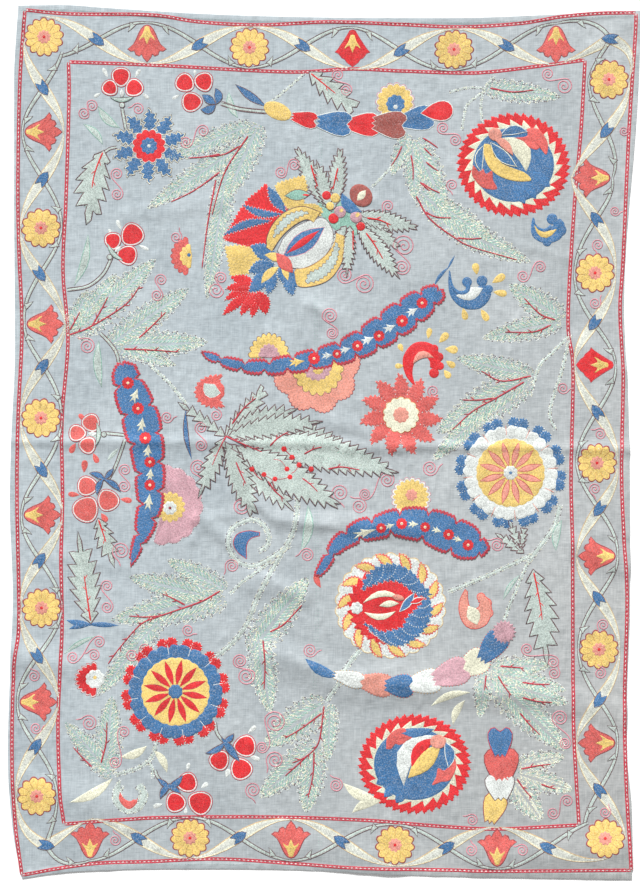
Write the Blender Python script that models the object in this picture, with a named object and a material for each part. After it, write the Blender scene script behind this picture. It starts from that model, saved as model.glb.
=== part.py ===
"""A suzani hanging laid out flat, face up: two loom widths of blue-grey silk seamed down the middle.

X runs across the cloth, +Y towards its top edge and +Z up, in metres. The origin is the centre of the
cloth's box on the surface that it lies on. Each panel is one closed solid with the cloth's uneven
outline, a turned hem along its outer edges, and the soft folds in which the cloth lies.
"""

from collections import namedtuple

import bpy
import numpy as np

# Driving dimensions
WIDTH = 1.044
LENGTH = 1.442
THICKNESS = 0.0012
SEAM_SHARE = 0.494
SEAM_GAP = 0.0003
HEM_WIDTH = 0.009
HEM_STEP = 0.0015
HEM_EXTRA = 0.0007

# Cells of each panel's grid, from a hem to the middle of the cloth
CELLS_ACROSS = 19
CELLS_ALONG = 37

# A slow swell in the cloth, of which only the crests stand clear of the surface
SWELL_HEIGHT = 0.0016
SWELL_SUNK = 0.0009
SWELL_ACROSS = 0.46
SWELL_ALONG = 0.57
SWELL_SLANT = 0.83

# Power in which the heights of folds that meet add up: 1 would be their sum, and more nears the higher one
MEETING = 4

SILK = (0.46, 0.53, 0.55)
SILK_ROUGHNESS = 0.62

# How far each edge is drawn in from the cloth's box, at distances along it from the left or the top
Station = namedtuple("Station", "along inset")

LEFT_EDGE = (
    Station(0.000, 0.017),
    Station(0.125, 0.010),
    Station(0.270, 0.010),
    Station(0.570, 0.0115),
    Station(0.725, 0.005),
    Station(0.820, 0.003),
    Station(0.980, 0.008),
    Station(1.065, 0.005),
    Station(1.230, 0.000),
    Station(1.310, 0.003),
    Station(1.395, 0.013),
    Station(1.442, 0.023),
)
RIGHT_EDGE = (
    Station(0.000, 0.000),
    Station(0.125, 0.004),
    Station(0.255, 0.013),
    Station(0.320, 0.019),
    Station(0.490, 0.028),
    Station(0.650, 0.021),
    Station(0.980, 0.018),
    Station(1.150, 0.023),
    Station(1.230, 0.023),
    Station(1.312, 0.016),
    Station(1.442, 0.015),
)
TOP_EDGE = (
    Station(0.000, 0.001),
    Station(0.070, 0.000),
    Station(0.150, 0.005),
    Station(0.315, 0.015),
    Station(0.480, 0.020),
    Station(0.730, 0.0215),
    Station(0.895, 0.016),
    Station(1.044, 0.009),
)
BOTTOM_EDGE = (
    Station(0.000, 0.001),
    Station(0.060, 0.010),
    Station(0.150, 0.015),
    Station(0.315, 0.017),
    Station(0.480, 0.015),
    Station(0.645, 0.007),
    Station(0.810, 0.003),
    Station(1.044, 0.000),
)

# The folds: each runs from one place on the cloth to another, and dies away within its reach
Fold = namedtuple("Fold", "x0 y0 x1 y1 height reach")

FOLDS = (
    # The crease left by folding the cloth in half
    Fold(-0.520, 0.002, 0.000, -0.003, 0.0026, 0.013),
    Fold(0.000, -0.003, 0.515, -0.012, 0.0030, 0.014),
    # Long folds across the lower half
    Fold(-0.110, -0.095, -0.070, -0.128, 0.0048, 0.020),
    Fold(-0.070, -0.130, 0.150, -0.142, 0.0055, 0.022),
    Fold(-0.120, -0.228, -0.035, -0.252, 0.0050, 0.026),
    Fold(-0.085, -0.352, 0.045, -0.402, 0.0066, 0.026),
    Fold(0.045, -0.402, 0.330, -0.412, 0.0060, 0.030),
    Fold(0.330, -0.412, 0.505, -0.448, 0.0046, 0.026),
    # Slack in the left edge and in the right one
    Fold(-0.515, -0.352, -0.400, -0.372, 0.0056, 0.028),
    Fold(-0.505, -0.560, -0.330, -0.610, 0.0044, 0.030),
    Fold(0.425, -0.170, 0.500, -0.205, 0.0050, 0.026),
    Fold(0.420, 0.160, 0.500, 0.110, 0.0034, 0.026),
    # Wrinkles that dense stitching draws into the bare silk
    Fold(-0.205, -0.125, -0.155, -0.165, 0.0036, 0.016),
    Fold(0.010, 0.035, 0.120, -0.004, 0.0034, 0.016),
    Fold(-0.030, 0.230, 0.020, 0.205, 0.0034, 0.018),
    Fold(-0.085, 0.180, -0.060, 0.110, 0.0030, 0.018),
    Fold(0.020, 0.440, 0.090, 0.395, 0.0030, 0.022),
    Fold(-0.180, 0.395, -0.330, 0.372, 0.0030, 0.022),
    # The lower edge and the upper corners, which lift a little
    Fold(-0.080, -0.655, 0.110, -0.700, 0.0040, 0.030),
    Fold(0.250, -0.690, 0.480, -0.672, 0.0046, 0.030),
    Fold(-0.500, 0.690, -0.470, 0.640, 0.0032, 0.026),
    Fold(0.440, 0.650, 0.500, 0.690, 0.0036, 0.026),
)


def clear_scene():
    for obj in list(bpy.data.objects):
        bpy.data.objects.remove(obj)


def edge_inset(edge, along):
    """A cubic through the edge's stations, which is level wherever a station stands further in or out."""
    at = np.array([station.along for station in edge])
    inset = np.array([station.inset for station in edge])
    rise = np.diff(inset) / np.diff(at)
    slope = np.gradient(inset, at)
    slope[1:-1][rise[:-1] * rise[1:] <= 0] = 0
    i = np.clip(np.searchsorted(at, along) - 1, 0, len(at) - 2)
    span = at[i + 1] - at[i]
    t = np.clip((along - at[i]) / span, 0, 1)
    blend = t * t * (3 - 2 * t)
    bend = t * (1 - t) * (slope[i] * (1 - t) - slope[i + 1] * t)
    return inset[i] * (1 - blend) + inset[i + 1] * blend + bend * span


def laid_place(across, down):
    """Where the share (across, down) of the cloth lies: each coordinate runs between its two edges."""
    left = -WIDTH / 2 + edge_inset(LEFT_EDGE, down * LENGTH)
    right = WIDTH / 2 - edge_inset(RIGHT_EDGE, down * LENGTH)
    top = LENGTH / 2 - edge_inset(TOP_EDGE, across * WIDTH)
    bottom = -LENGTH / 2 + edge_inset(BOTTOM_EDGE, across * WIDTH)
    return left + (right - left) * across, top + (bottom - top) * down


def lift(x, y):
    """Height of the underside: the folds, run into one another, and the swell, or 0 where it lies flat."""
    swell = np.sin(2 * np.pi * (x / SWELL_ACROSS + y / SWELL_SLANT))
    swell = swell + np.sin(2 * np.pi * (y / SWELL_ALONG - x / SWELL_SLANT))
    folded = 0
    for fold in FOLDS:
        run = np.array([fold.x1 - fold.x0, fold.y1 - fold.y0])
        share = np.clip(((x - fold.x0) * run[0] + (y - fold.y0) * run[1]) / (run @ run), 0, 1)
        away = np.hypot(x - fold.x0 - share * run[0], y - fold.y0 - share * run[1])
        folded = folded + (fold.height * np.exp(-((away / fold.reach) ** 2))) ** MEETING
    height = folded ** (1 / MEETING) + SWELL_HEIGHT * swell / 2 - SWELL_SUNK
    return np.maximum(height, 0)


def from_hem(length, cells):
    """Shares of a length, counted from a hemmed edge: the hem's inner line, its step, then even cells."""
    hem = HEM_WIDTH / length
    inner = (HEM_WIDTH + HEM_STEP) / length
    return np.concatenate([[0, hem], np.linspace(inner, 1, cells + 1)])


def panel_grid(first_share, last_share):
    """Shares across and down at each point of a panel, and a mask of the points that lie in the hem."""
    if first_share == 0:
        across = last_share * from_hem(last_share * WIDTH, CELLS_ACROSS)
        hem_columns = [0, 1]
    else:
        width = last_share - first_share
        across = last_share - width * from_hem(width * WIDTH, CELLS_ACROSS)[::-1]
        hem_columns = [-2, -1]
    half = from_hem(LENGTH / 2, CELLS_ALONG) / 2
    down = np.concatenate([half, 1 - half[-2::-1]])
    hem = np.zeros((len(down), len(across)), dtype=bool)
    hem[[0, 1, -2, -1], :] = True
    hem[:, hem_columns] = True
    return *np.meshgrid(across, down), hem


def sheet_faces(rows, columns):
    """Triangles of a closed sheet: its underside, its top with the same diagonals, and the rim between."""
    index = np.arange(rows * columns).reshape(rows, columns)
    a, b, c, d = index[:-1, :-1], index[1:, :-1], index[1:, 1:], index[:-1, 1:]
    top = np.concatenate([np.stack([a, b, c], -1).reshape(-1, 3), np.stack([a, c, d], -1).reshape(-1, 3)])
    rim = np.concatenate([index[:-1, 0], index[-1, :-1], index[:0:-1, -1], index[0, :0:-1]])
    following = np.roll(rim, -1)
    above = rows * columns
    first = np.stack([rim, following, following + above], -1)
    second = np.stack([rim, following + above, rim + above], -1)
    return np.concatenate([top + above, top[:, ::-1], first, second])


def panel_mesh(name, first_share, last_share, seam_side):
    """One loom width, its seamed edge standing half the seam's gap to its own side of the seam."""
    across, down, hem = panel_grid(first_share, last_share)
    x, y = laid_place(across, down)
    x[across == SEAM_SHARE] += seam_side * SEAM_GAP / 2
    under = lift(x, y)
    over = under + THICKNESS + HEM_EXTRA * hem
    points = [np.stack([x, y, z], -1).reshape(-1, 3) for z in (under, over)]
    mesh = bpy.data.meshes.new(name)
    mesh.from_pydata(np.concatenate(points).tolist(), [], sheet_faces(*across.shape).tolist())
    mesh.shade_smooth()
    return mesh


def silk_material():
    material = bpy.data.materials.new("silk_ground")
    material.use_nodes = True
    shader = material.node_tree.nodes["Principled BSDF"]
    shader.inputs["Base Color"].default_value = (*SILK, 1)
    shader.inputs["Roughness"].default_value = SILK_ROUGHNESS
    shader.inputs["Metallic"].default_value = 0
    return material


def add_panel(name, first_share, last_share, seam_side, material):
    mesh = panel_mesh(name, first_share, last_share, seam_side)
    mesh.materials.append(material)
    bpy.context.scene.collection.objects.link(bpy.data.objects.new(name, mesh))


def main():
    clear_scene()
    silk = silk_material()
    add_panel("left_panel", 0, SEAM_SHARE, -1, silk)
    add_panel("right_panel", SEAM_SHARE, 1, 1, silk)


main()
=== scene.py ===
"""A suzani laid out flat, face up: silk chain stitch in bright colours on blue-grey silk.

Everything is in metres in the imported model's frame: X runs across the cloth, +Y towards its top edge and +Z
up out of the embroidered face. The needlework is planned in stitch rows. One row of chain stitch is 1.65 mm
wide, and the place x + iy lies x rows to the right of the plan's upper left corner and y rows below it.
"""

from collections import namedtuple

import bpy
import numpy as np
from bpy.props import FloatProperty, FloatVectorProperty, IntProperty, PointerProperty
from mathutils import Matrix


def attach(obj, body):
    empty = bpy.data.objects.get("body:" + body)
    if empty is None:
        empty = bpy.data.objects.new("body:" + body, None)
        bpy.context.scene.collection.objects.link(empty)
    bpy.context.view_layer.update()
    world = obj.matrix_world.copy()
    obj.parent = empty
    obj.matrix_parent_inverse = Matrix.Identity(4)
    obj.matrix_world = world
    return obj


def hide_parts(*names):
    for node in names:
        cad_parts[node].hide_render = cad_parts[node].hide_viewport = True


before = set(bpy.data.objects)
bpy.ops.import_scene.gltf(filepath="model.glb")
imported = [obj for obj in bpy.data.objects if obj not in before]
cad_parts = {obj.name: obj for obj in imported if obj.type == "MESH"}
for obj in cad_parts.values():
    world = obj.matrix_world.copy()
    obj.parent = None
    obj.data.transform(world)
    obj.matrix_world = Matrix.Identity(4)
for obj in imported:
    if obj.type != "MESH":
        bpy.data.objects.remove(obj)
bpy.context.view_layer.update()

bl_info = {
    "name": "Suzani",
    "version": (1, 0, 0),
    "blender": (4, 5, 0),
    "location": "3D View > Sidebar > Suzani",
    "description": "Makes a silk suzani with its embroidery around the packed model",
    "category": "Object",
}

# The cloth's shape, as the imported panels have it
WIDTH = 1.044
LENGTH = 1.442
THICKNESS = 0.0012
SEAM_SHARE = 0.494
HEM_WIDTH = 0.009
HEM_STEP = 0.0015
HEM_EXTRA = 0.0007
SWELL_HEIGHT = 0.0016
SWELL_SUNK = 0.0009
SWELL_ACROSS = 0.46
SWELL_ALONG = 0.57
SWELL_SLANT = 0.83
MEETING = 4


def table(kind, *rows):
    """A table's rows, with the names of its columns."""
    return tuple(kind(*row) for row in rows)


# How far each edge is drawn in from the cloth's box, at distances along it from the left or the top
Station = namedtuple("Station", "along inset")

LEFT_EDGE = table(
    Station,
    (0.0, 0.017), (0.125, 0.01), (0.27, 0.01), (0.57, 0.0115), (0.725, 0.005), (0.82, 0.003), (0.98, 0.008),
    (1.065, 0.005), (1.23, 0.0), (1.31, 0.003), (1.395, 0.013), (1.442, 0.023),
)
RIGHT_EDGE = table(
    Station,
    (0.0, 0.0), (0.125, 0.004), (0.255, 0.013), (0.32, 0.019), (0.49, 0.028), (0.65, 0.021), (0.98, 0.018),
    (1.15, 0.023), (1.23, 0.023), (1.312, 0.016), (1.442, 0.015),
)
TOP_EDGE = table(
    Station,
    (0.0, 0.001), (0.07, 0.0), (0.15, 0.005), (0.315, 0.015), (0.48, 0.02), (0.73, 0.0215), (0.895, 0.016),
    (1.044, 0.009),
)
BOTTOM_EDGE = table(
    Station,
    (0.0, 0.001), (0.06, 0.01), (0.15, 0.015), (0.315, 0.017), (0.48, 0.015), (0.645, 0.007), (0.81, 0.003),
    (1.044, 0.0),
)

# The folds: each runs from one place on the cloth to another, and dies away within its reach
Fold = namedtuple("Fold", "x0 y0 x1 y1 height reach")

FOLDS = table(
    Fold,
    # The crease left by folding the cloth in half
    (-0.52, 0.002, 0.0, -0.003, 0.0026, 0.013), (0.0, -0.003, 0.515, -0.012, 0.003, 0.014),
    # Long folds across the lower half
    (-0.11, -0.095, -0.07, -0.128, 0.0048, 0.02), (-0.07, -0.13, 0.15, -0.142, 0.0055, 0.022),
    (-0.12, -0.228, -0.035, -0.252, 0.005, 0.026), (-0.085, -0.352, 0.045, -0.402, 0.0066, 0.026),
    (0.045, -0.402, 0.33, -0.412, 0.006, 0.03), (0.33, -0.412, 0.505, -0.448, 0.0046, 0.026),
    # Slack in the left edge and in the right one
    (-0.515, -0.352, -0.4, -0.372, 0.0056, 0.028), (-0.505, -0.56, -0.33, -0.61, 0.0044, 0.03),
    (0.425, -0.17, 0.5, -0.205, 0.005, 0.026), (0.42, 0.16, 0.5, 0.11, 0.0034, 0.026),
    # Wrinkles that dense stitching draws into the bare silk
    (-0.205, -0.125, -0.155, -0.165, 0.0036, 0.016), (0.01, 0.035, 0.12, -0.004, 0.0034, 0.016),
    (-0.03, 0.23, 0.02, 0.205, 0.0034, 0.018), (-0.085, 0.18, -0.06, 0.11, 0.003, 0.018),
    (0.02, 0.44, 0.09, 0.395, 0.003, 0.022), (-0.18, 0.395, -0.33, 0.372, 0.003, 0.022),
    # The lower edge and the upper corners, which lift a little
    (-0.08, -0.655, 0.11, -0.7, 0.004, 0.03), (0.25, -0.69, 0.48, -0.672, 0.0046, 0.03),
    (-0.5, 0.69, -0.47, 0.64, 0.0032, 0.026), (0.44, 0.65, 0.5, 0.69, 0.0036, 0.026),
)

# Fine creases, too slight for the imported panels, in the same columns
CREASES = table(
    Fold,
    (-0.52, 0.0, -0.19, 0.001, 0.0013, 0.007), (-0.19, 0.001, 0.13, -0.006, 0.0014, 0.007),
    (0.13, -0.006, 0.505, -0.011, 0.0014, 0.007),
    # Drag lines below the great flower
    (-0.12, 0.262, -0.092, 0.08, 0.0013, 0.008), (-0.06, 0.255, -0.045, 0.11, 0.0012, 0.008),
    (-0.03, 0.215, 0.005, 0.075, 0.0014, 0.009), (-0.012, 0.27, 0.01, 0.17, 0.0012, 0.008),
    (-0.03, 0.226, 0.004, 0.216, 0.0019, 0.008),
    # A star of wrinkles by the second long leaf
    (-0.215, -0.128, -0.15, -0.12, 0.0015, 0.009), (-0.19, -0.128, -0.205, -0.078, 0.0013, 0.008),
    (-0.19, -0.128, -0.225, -0.17, 0.0014, 0.009), (-0.185, -0.132, -0.15, -0.185, 0.0014, 0.009),
    # Wrinkles round the coral flower and the lower wheel
    (0.034, -0.014, 0.134, -0.012, 0.0024, 0.009), (0.15, -0.006, 0.232, -0.008, 0.0018, 0.008),
    (0.14, 0.03, 0.172, 0.004, 0.0014, 0.009), (0.05, 0.07, 0.092, 0.055, 0.0012, 0.009),
    (-0.33, -0.31, -0.29, -0.345, 0.0015, 0.01), (-0.16, -0.475, -0.12, -0.5, 0.0015, 0.01),
    (0.06, -0.39, 0.12, -0.372, 0.0018, 0.01), (-0.08, -0.345, -0.02, -0.372, 0.002, 0.01),
    # Soft folds below the cluster of leaves, and over the lower half
    (-0.113, -0.104, -0.086, -0.125, 0.0022, 0.008), (-0.086, -0.127, -0.02, -0.134, 0.0022, 0.008),
    (-0.014, -0.136, 0.018, -0.138, 0.002, 0.007), (-0.095, -0.224, -0.055, -0.25, 0.0024, 0.01),
    (0.11, -0.398, 0.372, -0.424, 0.0016, 0.011), (0.25, -0.23, 0.33, -0.255, 0.0013, 0.01),
    (0.31, 0.33, 0.4, 0.3, 0.0012, 0.01), (-0.42, 0.26, -0.35, 0.24, 0.0012, 0.01),
    (-0.43, -0.19, -0.33, -0.205, 0.0015, 0.01), (0.44, -0.145, 0.47, -0.152, 0.002, 0.01),
)

# The slack all over the silk: waves of these lengths at these slants, of this height in all
PUCKER_LENGTHS = (0.041, 0.031, 0.052, 0.047, 0.067, 0.036, 0.029, 0.058)
PUCKER_TURN = 2.4
PUCKER_HEIGHT = 0.00030

# Cells of each silk panel
CELLS_ACROSS = 110
CELLS_ALONG = 300

# Height of the stitching: how deep its edge is sunk, how far it stands up, and how much each layer adds
SUNK = 0.00012
CROWN = 0.00042
LAYER = 0.00030

# The longest side of a cell of stitching, in rows
CELL = 2.6

# The small step in height from each patch of a layer to the next, and how many steps there are
LIFT = 0.000004
LIFTS = 25

# The plan of the needlework
ROW = 0.00165
MIDDLE = 324.4 + 442j

# Where a shape drawn from half a profile has its core, as a share of its length
CORE_SHARE = 0.42

# Edges that turn more sharply than this stay sharp, in degrees
SHARP_TURN = 50

# The hem's running stitches: how far apart, how far from the corners, where across the hem; and the seam's
HEM_STITCH = 0.0055
HEM_START = 0.006
HEM_LINE = 0.86
SEAM_LINE = 0.0022

# The camera, which sees the plan as the photo does, and the floor and lamp under and over it
PHOTO_WIDTH = 640
PHOTO_LENGTH = 882
CAMERA_LENS = 85
SENSOR = 36
CAMERA_REACH = 50
FLOOR_REACH = 6.0
FLOOR_HEIGHT = -0.0003
LAMP_ANGLE = 0.22
LAMP_TILT = -56
LAMP_TURN = 14


def linear(red, green, blue):
    """Linear values of a colour given as it shows on a screen, from 0 to 255."""
    screen = np.array([red, green, blue]) / 255
    return tuple(np.where(screen < 0.04045, screen / 12.92, ((screen + 0.055) / 1.055) ** 2.4).tolist())


def colour(name, description, red, green, blue):
    """The property for a colour that the user may change."""
    return FloatVectorProperty(
        name=name, description=description, subtype="COLOR", min=0, max=1, default=linear(red, green, blue)
    )


class ThreadColours(bpy.types.PropertyGroup):
    scarlet: colour("Scarlet", "Petals, berries and veins", 230, 46, 52)
    crimson: colour("Crimson", "The lines beside the border and the outlines of red flowers", 196, 54, 72)
    coral: colour("Coral", "Tulips and coral flowers", 231, 104, 98)
    blush: colour("Blush", "The palest petals", 238, 158, 140)
    yellow: colour("Yellow", "Rosettes and flower hearts", 246, 212, 122)
    straw: colour("Straw", "The darker lines in yellow petals", 226, 176, 104)
    blue: colour("Blue", "Leaves, petals and calyxes", 62, 118, 170)
    mauve: colour("Mauve", "Soft half flowers", 212, 165, 175)
    rose: colour("Rose", "Tendrils", 222, 148, 160)
    mint: colour("Mint", "Sprays of leaves", 148, 196, 179)
    pearl: colour("Pearl", "Pale fillings of leaves and stems", 200, 214, 207)
    white: colour("White", "Fine edges and the border's leaves", 232, 237, 233)
    bone: colour("Bone", "The border's long leaves", 218, 221, 211)
    cream: colour("Cream", "Leaves and light petals", 238, 237, 212)
    russet: colour("Russet", "Hearts and fine stems", 172, 90, 82)
    maroon: colour("Maroon", "Outlines of the border's flowers", 160, 66, 72)
    dark: colour("Dark", "Outlines of stems", 112, 80, 84)


class ClothSettings(bpy.types.PropertyGroup):
    silk: colour("Silk", "The ground", 156, 167, 173)
    faded: colour("Faded silk", "Streaks in the ground", 186, 195, 199)
    threads: PointerProperty(type=ThreadColours)
    crown: FloatProperty(
        name="Stitch height", description="How far the stitching stands up", default=CROWN, unit="LENGTH"
    )
    link: FloatProperty(
        name="Link", description="Length of a link of chain stitch", default=0.0026, unit="LENGTH"
    )
    lamp: FloatProperty(name="Lamp", description="Strength of the main light", default=4.75)
    sky: FloatProperty(name="Fill light", description="Strength of the light from all round", default=0.42)
    seed: IntProperty(name="Seed", description="Starts the small differences between stitches", default=7)


def edge_inset(edge, along):
    """A cubic through the edge's stations, which is level wherever a station stands further in or out."""
    at = np.array([station.along for station in edge])
    inset = np.array([station.inset for station in edge])
    rise = np.diff(inset) / np.diff(at)
    slope = np.gradient(inset, at)
    slope[1:-1][rise[:-1] * rise[1:] <= 0] = 0
    i = np.clip(np.searchsorted(at, along) - 1, 0, len(at) - 2)
    span = at[i + 1] - at[i]
    t = np.clip((along - at[i]) / span, 0, 1)
    blend = t * t * (3 - 2 * t)
    bend = t * (1 - t) * (slope[i] * (1 - t) - slope[i + 1] * t)
    return inset[i] * (1 - blend) + inset[i + 1] * blend + bend * span


def laid_place(across, down):
    """Where the share (across, down) of the cloth lies: each coordinate runs between its two edges."""
    left = -WIDTH / 2 + edge_inset(LEFT_EDGE, down * LENGTH)
    right = WIDTH / 2 - edge_inset(RIGHT_EDGE, down * LENGTH)
    top = LENGTH / 2 - edge_inset(TOP_EDGE, across * WIDTH)
    bottom = -LENGTH / 2 + edge_inset(BOTTOM_EDGE, across * WIDTH)
    return left + (right - left) * across, top + (bottom - top) * down


def ridges(folds, x, y, meeting):
    """Heights of folds, each falling off as exp(-(distance / reach)^2), met by summing this power of them."""
    total = 0
    for fold in folds:
        run = np.array([fold.x1 - fold.x0, fold.y1 - fold.y0])
        share = np.clip(((x - fold.x0) * run[0] + (y - fold.y0) * run[1]) / (run @ run), 0, 1)
        away = np.hypot(x - fold.x0 - share * run[0], y - fold.y0 - share * run[1])
        total = total + (fold.height * np.exp(-((away / fold.reach) ** 2))) ** meeting
    return total ** (1 / meeting)


def puckers(x, y):
    """Sines of several lengths and slants, summed and squared, so that the slack stands in short ridges."""
    total = 0
    for number, length in enumerate(PUCKER_LENGTHS):
        slant = PUCKER_TURN * number
        total = total + np.sin((x * np.cos(slant) + y * np.sin(slant)) * 2 * np.pi / length + 1.7 * number)
    return PUCKER_HEIGHT * np.clip(0.4 + total / 5, 0, 1.6) ** 2


def cloth_under(x, y):
    """Height of the silk's underside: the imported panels' folds and swell, with fine creases and slack."""
    swell = np.sin(2 * np.pi * (x / SWELL_ACROSS + y / SWELL_SLANT))
    swell = swell + np.sin(2 * np.pi * (y / SWELL_ALONG - x / SWELL_SLANT))
    laid = np.maximum(ridges(FOLDS, x, y, MEETING) + SWELL_HEIGHT * swell / 2 - SWELL_SUNK, 0)
    return laid + ridges(CREASES, x, y, 2) + puckers(x, y)


def cloth_shares(x, y):
    """The shares across and down at which a place lies: the inverse of laid_place, in three passes."""
    across, down = x / WIDTH + 0.5, 0.5 - y / LENGTH
    for _ in range(3):
        left, top = laid_place(0 * across, down)[0], laid_place(across, 0 * down)[1]
        right, bottom = laid_place(0 * across + 1, down)[0], laid_place(across, 0 * down + 1)[1]
        across, down = (x - left) / (right - left), (top - y) / (top - bottom)
    return across, down


def hem_share(across, down):
    """1 in the turned hem, 0 in the cloth inside it, and between the two on the step."""
    edge = np.minimum(np.minimum(across, 1 - across) * WIDTH, np.minimum(down, 1 - down) * LENGTH)
    return np.clip((HEM_WIDTH + HEM_STEP - edge) / HEM_STEP, 0, 1)


def cloth_top(x, y):
    across, down = cloth_shares(x, y)
    return cloth_under(x, y) + THICKNESS + HEM_EXTRA * hem_share(across, down)


def on_cloth(plan):
    """The plan's places in metres."""
    return (plan.real - MIDDLE.real) * ROW, (MIDDLE.imag - plan.imag) * ROW


def from_hem(length, cells):
    """Shares of a length, counted from a hemmed edge: the hem's inner line, its step, then even cells."""
    hem = HEM_WIDTH / length
    inner = (HEM_WIDTH + HEM_STEP) / length
    return np.concatenate([[0, hem / 3, hem * 0.8, hem], np.linspace(inner, 1, cells + 1)])


def sheet_faces(rows, columns):
    """Triangles of a closed sheet: its underside, its top with the same diagonals, and the rim between."""
    index = np.arange(rows * columns).reshape(rows, columns)
    a, b, c, d = index[:-1, :-1], index[1:, :-1], index[1:, 1:], index[:-1, 1:]
    top = np.concatenate([np.stack([a, b, c], -1).reshape(-1, 3), np.stack([a, c, d], -1).reshape(-1, 3)])
    rim = np.concatenate([index[:-1, 0], index[-1, :-1], index[:0:-1, -1], index[0, :0:-1]])
    following = np.roll(rim, -1)
    above = rows * columns
    first = np.stack([rim, following, following + above], -1)
    second = np.stack([rim, following + above, rim + above], -1)
    return np.concatenate([top + above, top[:, ::-1], first, second])


# Curves in the plan

Shape = namedtuple("Shape", "outline core")


def run_along(curve):
    """How far along a curve each of its points lies."""
    return np.concatenate([[0], np.cumsum(abs(np.diff(curve)))])


def even(curve, count):
    """The curve's points respaced evenly along its length."""
    run = run_along(curve)
    return np.interp(np.linspace(0, run[-1], count), run, curve)


def smooth_path(points, step=2.0):
    """A Catmull-Rom curve through points, in even steps."""
    p = np.array([complex(*point) for point in points])
    p = np.concatenate([[2 * p[0] - p[1]], p, [2 * p[-1] - p[-2]]])
    t = np.linspace(0, 1, 12, endpoint=False)[:, None]
    a, b, c, d = p[:-3], p[1:-2], p[2:-1], p[3:]
    curve = b + ((c - a) * t + (2 * a - 5 * b + 4 * c - d) * t**2 + (3 * b - a - 3 * c + d) * t**3) / 2
    curve = np.append(curve.T.ravel(), p[-2])
    length = abs(np.diff(curve)).sum()
    return even(curve, max(3, round(length / step) + 1))


def sideways(path, closed=False):
    """Unit vectors a quarter turn from the path's direction, to the right of its travel."""
    if closed:
        along = np.roll(path, -1) - np.roll(path, 1)
    else:
        along = np.gradient(path)
    return 1j * along / np.maximum(abs(along), 1e-9)


def lens(t):
    return np.sin(np.pi * t)


def thorn(t):
    return 1 - t


def drop(t):
    """Widest two thirds along, round at the far end."""
    return 2.6 * t * np.sqrt(np.maximum(1 - t, 0))


def egg(t):
    """Nearly round, and wider towards its far end."""
    return 2 * np.sqrt(np.maximum(t * (1 - t), 0)) * (0.78 + 0.42 * t)


def oval(t):
    return 2 * np.sqrt(np.maximum(t * (1 - t), 0))


def along_path(path, half):
    """A leaf round a path, as wide to each side as half says at each of its points."""
    side = sideways(path) * half
    outline = np.concatenate([(path + side)[:-1], (path - side)[:0:-1]])
    keep = np.clip(np.linspace(0, 1, len(path)), 0.04, 0.96)
    core = np.interp(keep, np.linspace(0, 1, len(path)), path)
    return Shape(outline, np.concatenate([core[:-1], core[:0:-1]]))


def ribbon(places, step=2.0):
    """The middle line through places given as x, y and half width, and the half width along it."""
    path = smooth_path([place[:2] for place in places], step)
    points = np.array([complex(*place[:2]) for place in places])
    run = run_along(points)
    return path, np.interp(np.linspace(0, run[-1], len(path)), run, [place[2] for place in places])


def blade(start, end, half, bend=0, profile=lens, count=9):
    """A leaf or petal from start to end, bowed sideways by bend times a sine, with this width profile."""
    t = (1 - np.cos(np.pi * np.linspace(0, 1, count + 1))) / 2
    reach = abs(end - start)
    bow = bend * 1j * (end - start) / reach

    def spine(s):
        return start + (end - start) * s + bow * np.sin(np.pi * s)

    side = sideways(spine(t)) * half * profile(t)
    keep = min(0.42, 0.7 * half / reach)
    core = spine(np.clip(t, keep, 1 - keep))
    outline = np.concatenate([(spine(t) + side)[:-1], (spine(t) - side)[:0:-1]])
    return Shape(outline, np.concatenate([core[:-1], core[:0:-1]]))


def round_place(outline, place):
    """A shape worked from its outline in to one place."""
    return Shape(outline, np.full(len(outline), place))


def disc(centre, radius, count=14):
    return round_place(centre + radius * np.exp(2j * np.pi * np.arange(count) / count), centre)


def bloom(centre, radius, lobes, depth, turn=0.0, steps=6, pointed=False):
    """A flower seen from above: its radius swings lobes times round, in rounded lobes or in points."""
    count = lobes * steps
    angle = 2 * np.pi * np.arange(count) / count
    swing = abs(np.sin(lobes * angle / 2))
    reach = 1 - depth * swing if pointed else 1 - depth * (1 - swing)
    return round_place(centre + radius * reach * np.exp(1j * (angle + turn)), centre)


def edged(shape, size, depth, pointed=False, lean=0.0, steps=5, ahead=0):
    """The shape with a scalloped or toothed edge: its outline swings out from the core once every size.

    Teeth lean along the outline by lean, or all one way by ahead, both as shares of their depth.
    """
    closed = np.append(shape.outline, shape.outline[0])
    core = np.append(shape.core, shape.core[0])
    length = abs(np.diff(closed)).sum()
    teeth = max(3, round(length / size))
    run = run_along(closed)
    place = np.arange(teeth * steps) / (teeth * steps) * length
    outline = np.interp(place, run, closed)
    core = np.interp(place, run, core)
    phase = place / length * teeth % 1
    out = outline - core
    out = out / np.maximum(abs(out), 1e-6)
    if pointed:
        swing = 1 - abs(2 * phase - 1)
        outline = outline + depth * swing * (out * (1 - 1j * lean) + ahead)
    else:
        outline = outline + out * depth * (np.sin(np.pi * phase) - 0.4)
    return Shape(outline, core)


def notched(shape, size, depth):
    """The shape with narrow notches cut into its outline once every size, and a slight swell between them."""
    closed = np.append(shape.outline, shape.outline[0])
    core = np.append(shape.core, shape.core[0])
    run = run_along(closed)
    place = np.arange(0, run[-1], 1.2)
    outline, core = np.interp(place, run, closed), np.interp(place, run, core)
    count = round(run[-1] / size)
    phase = place / run[-1] * count % 1
    swing = 1.2 * np.sin(np.pi * phase) - depth * np.exp(-(((phase - 0.5) % 1 - 0.5) * size / 1.9) ** 2)
    out = outline - core
    return Shape(outline + out / np.maximum(abs(out), 1e-6) * np.maximum(swing, -0.6 * abs(out)), core)


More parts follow.
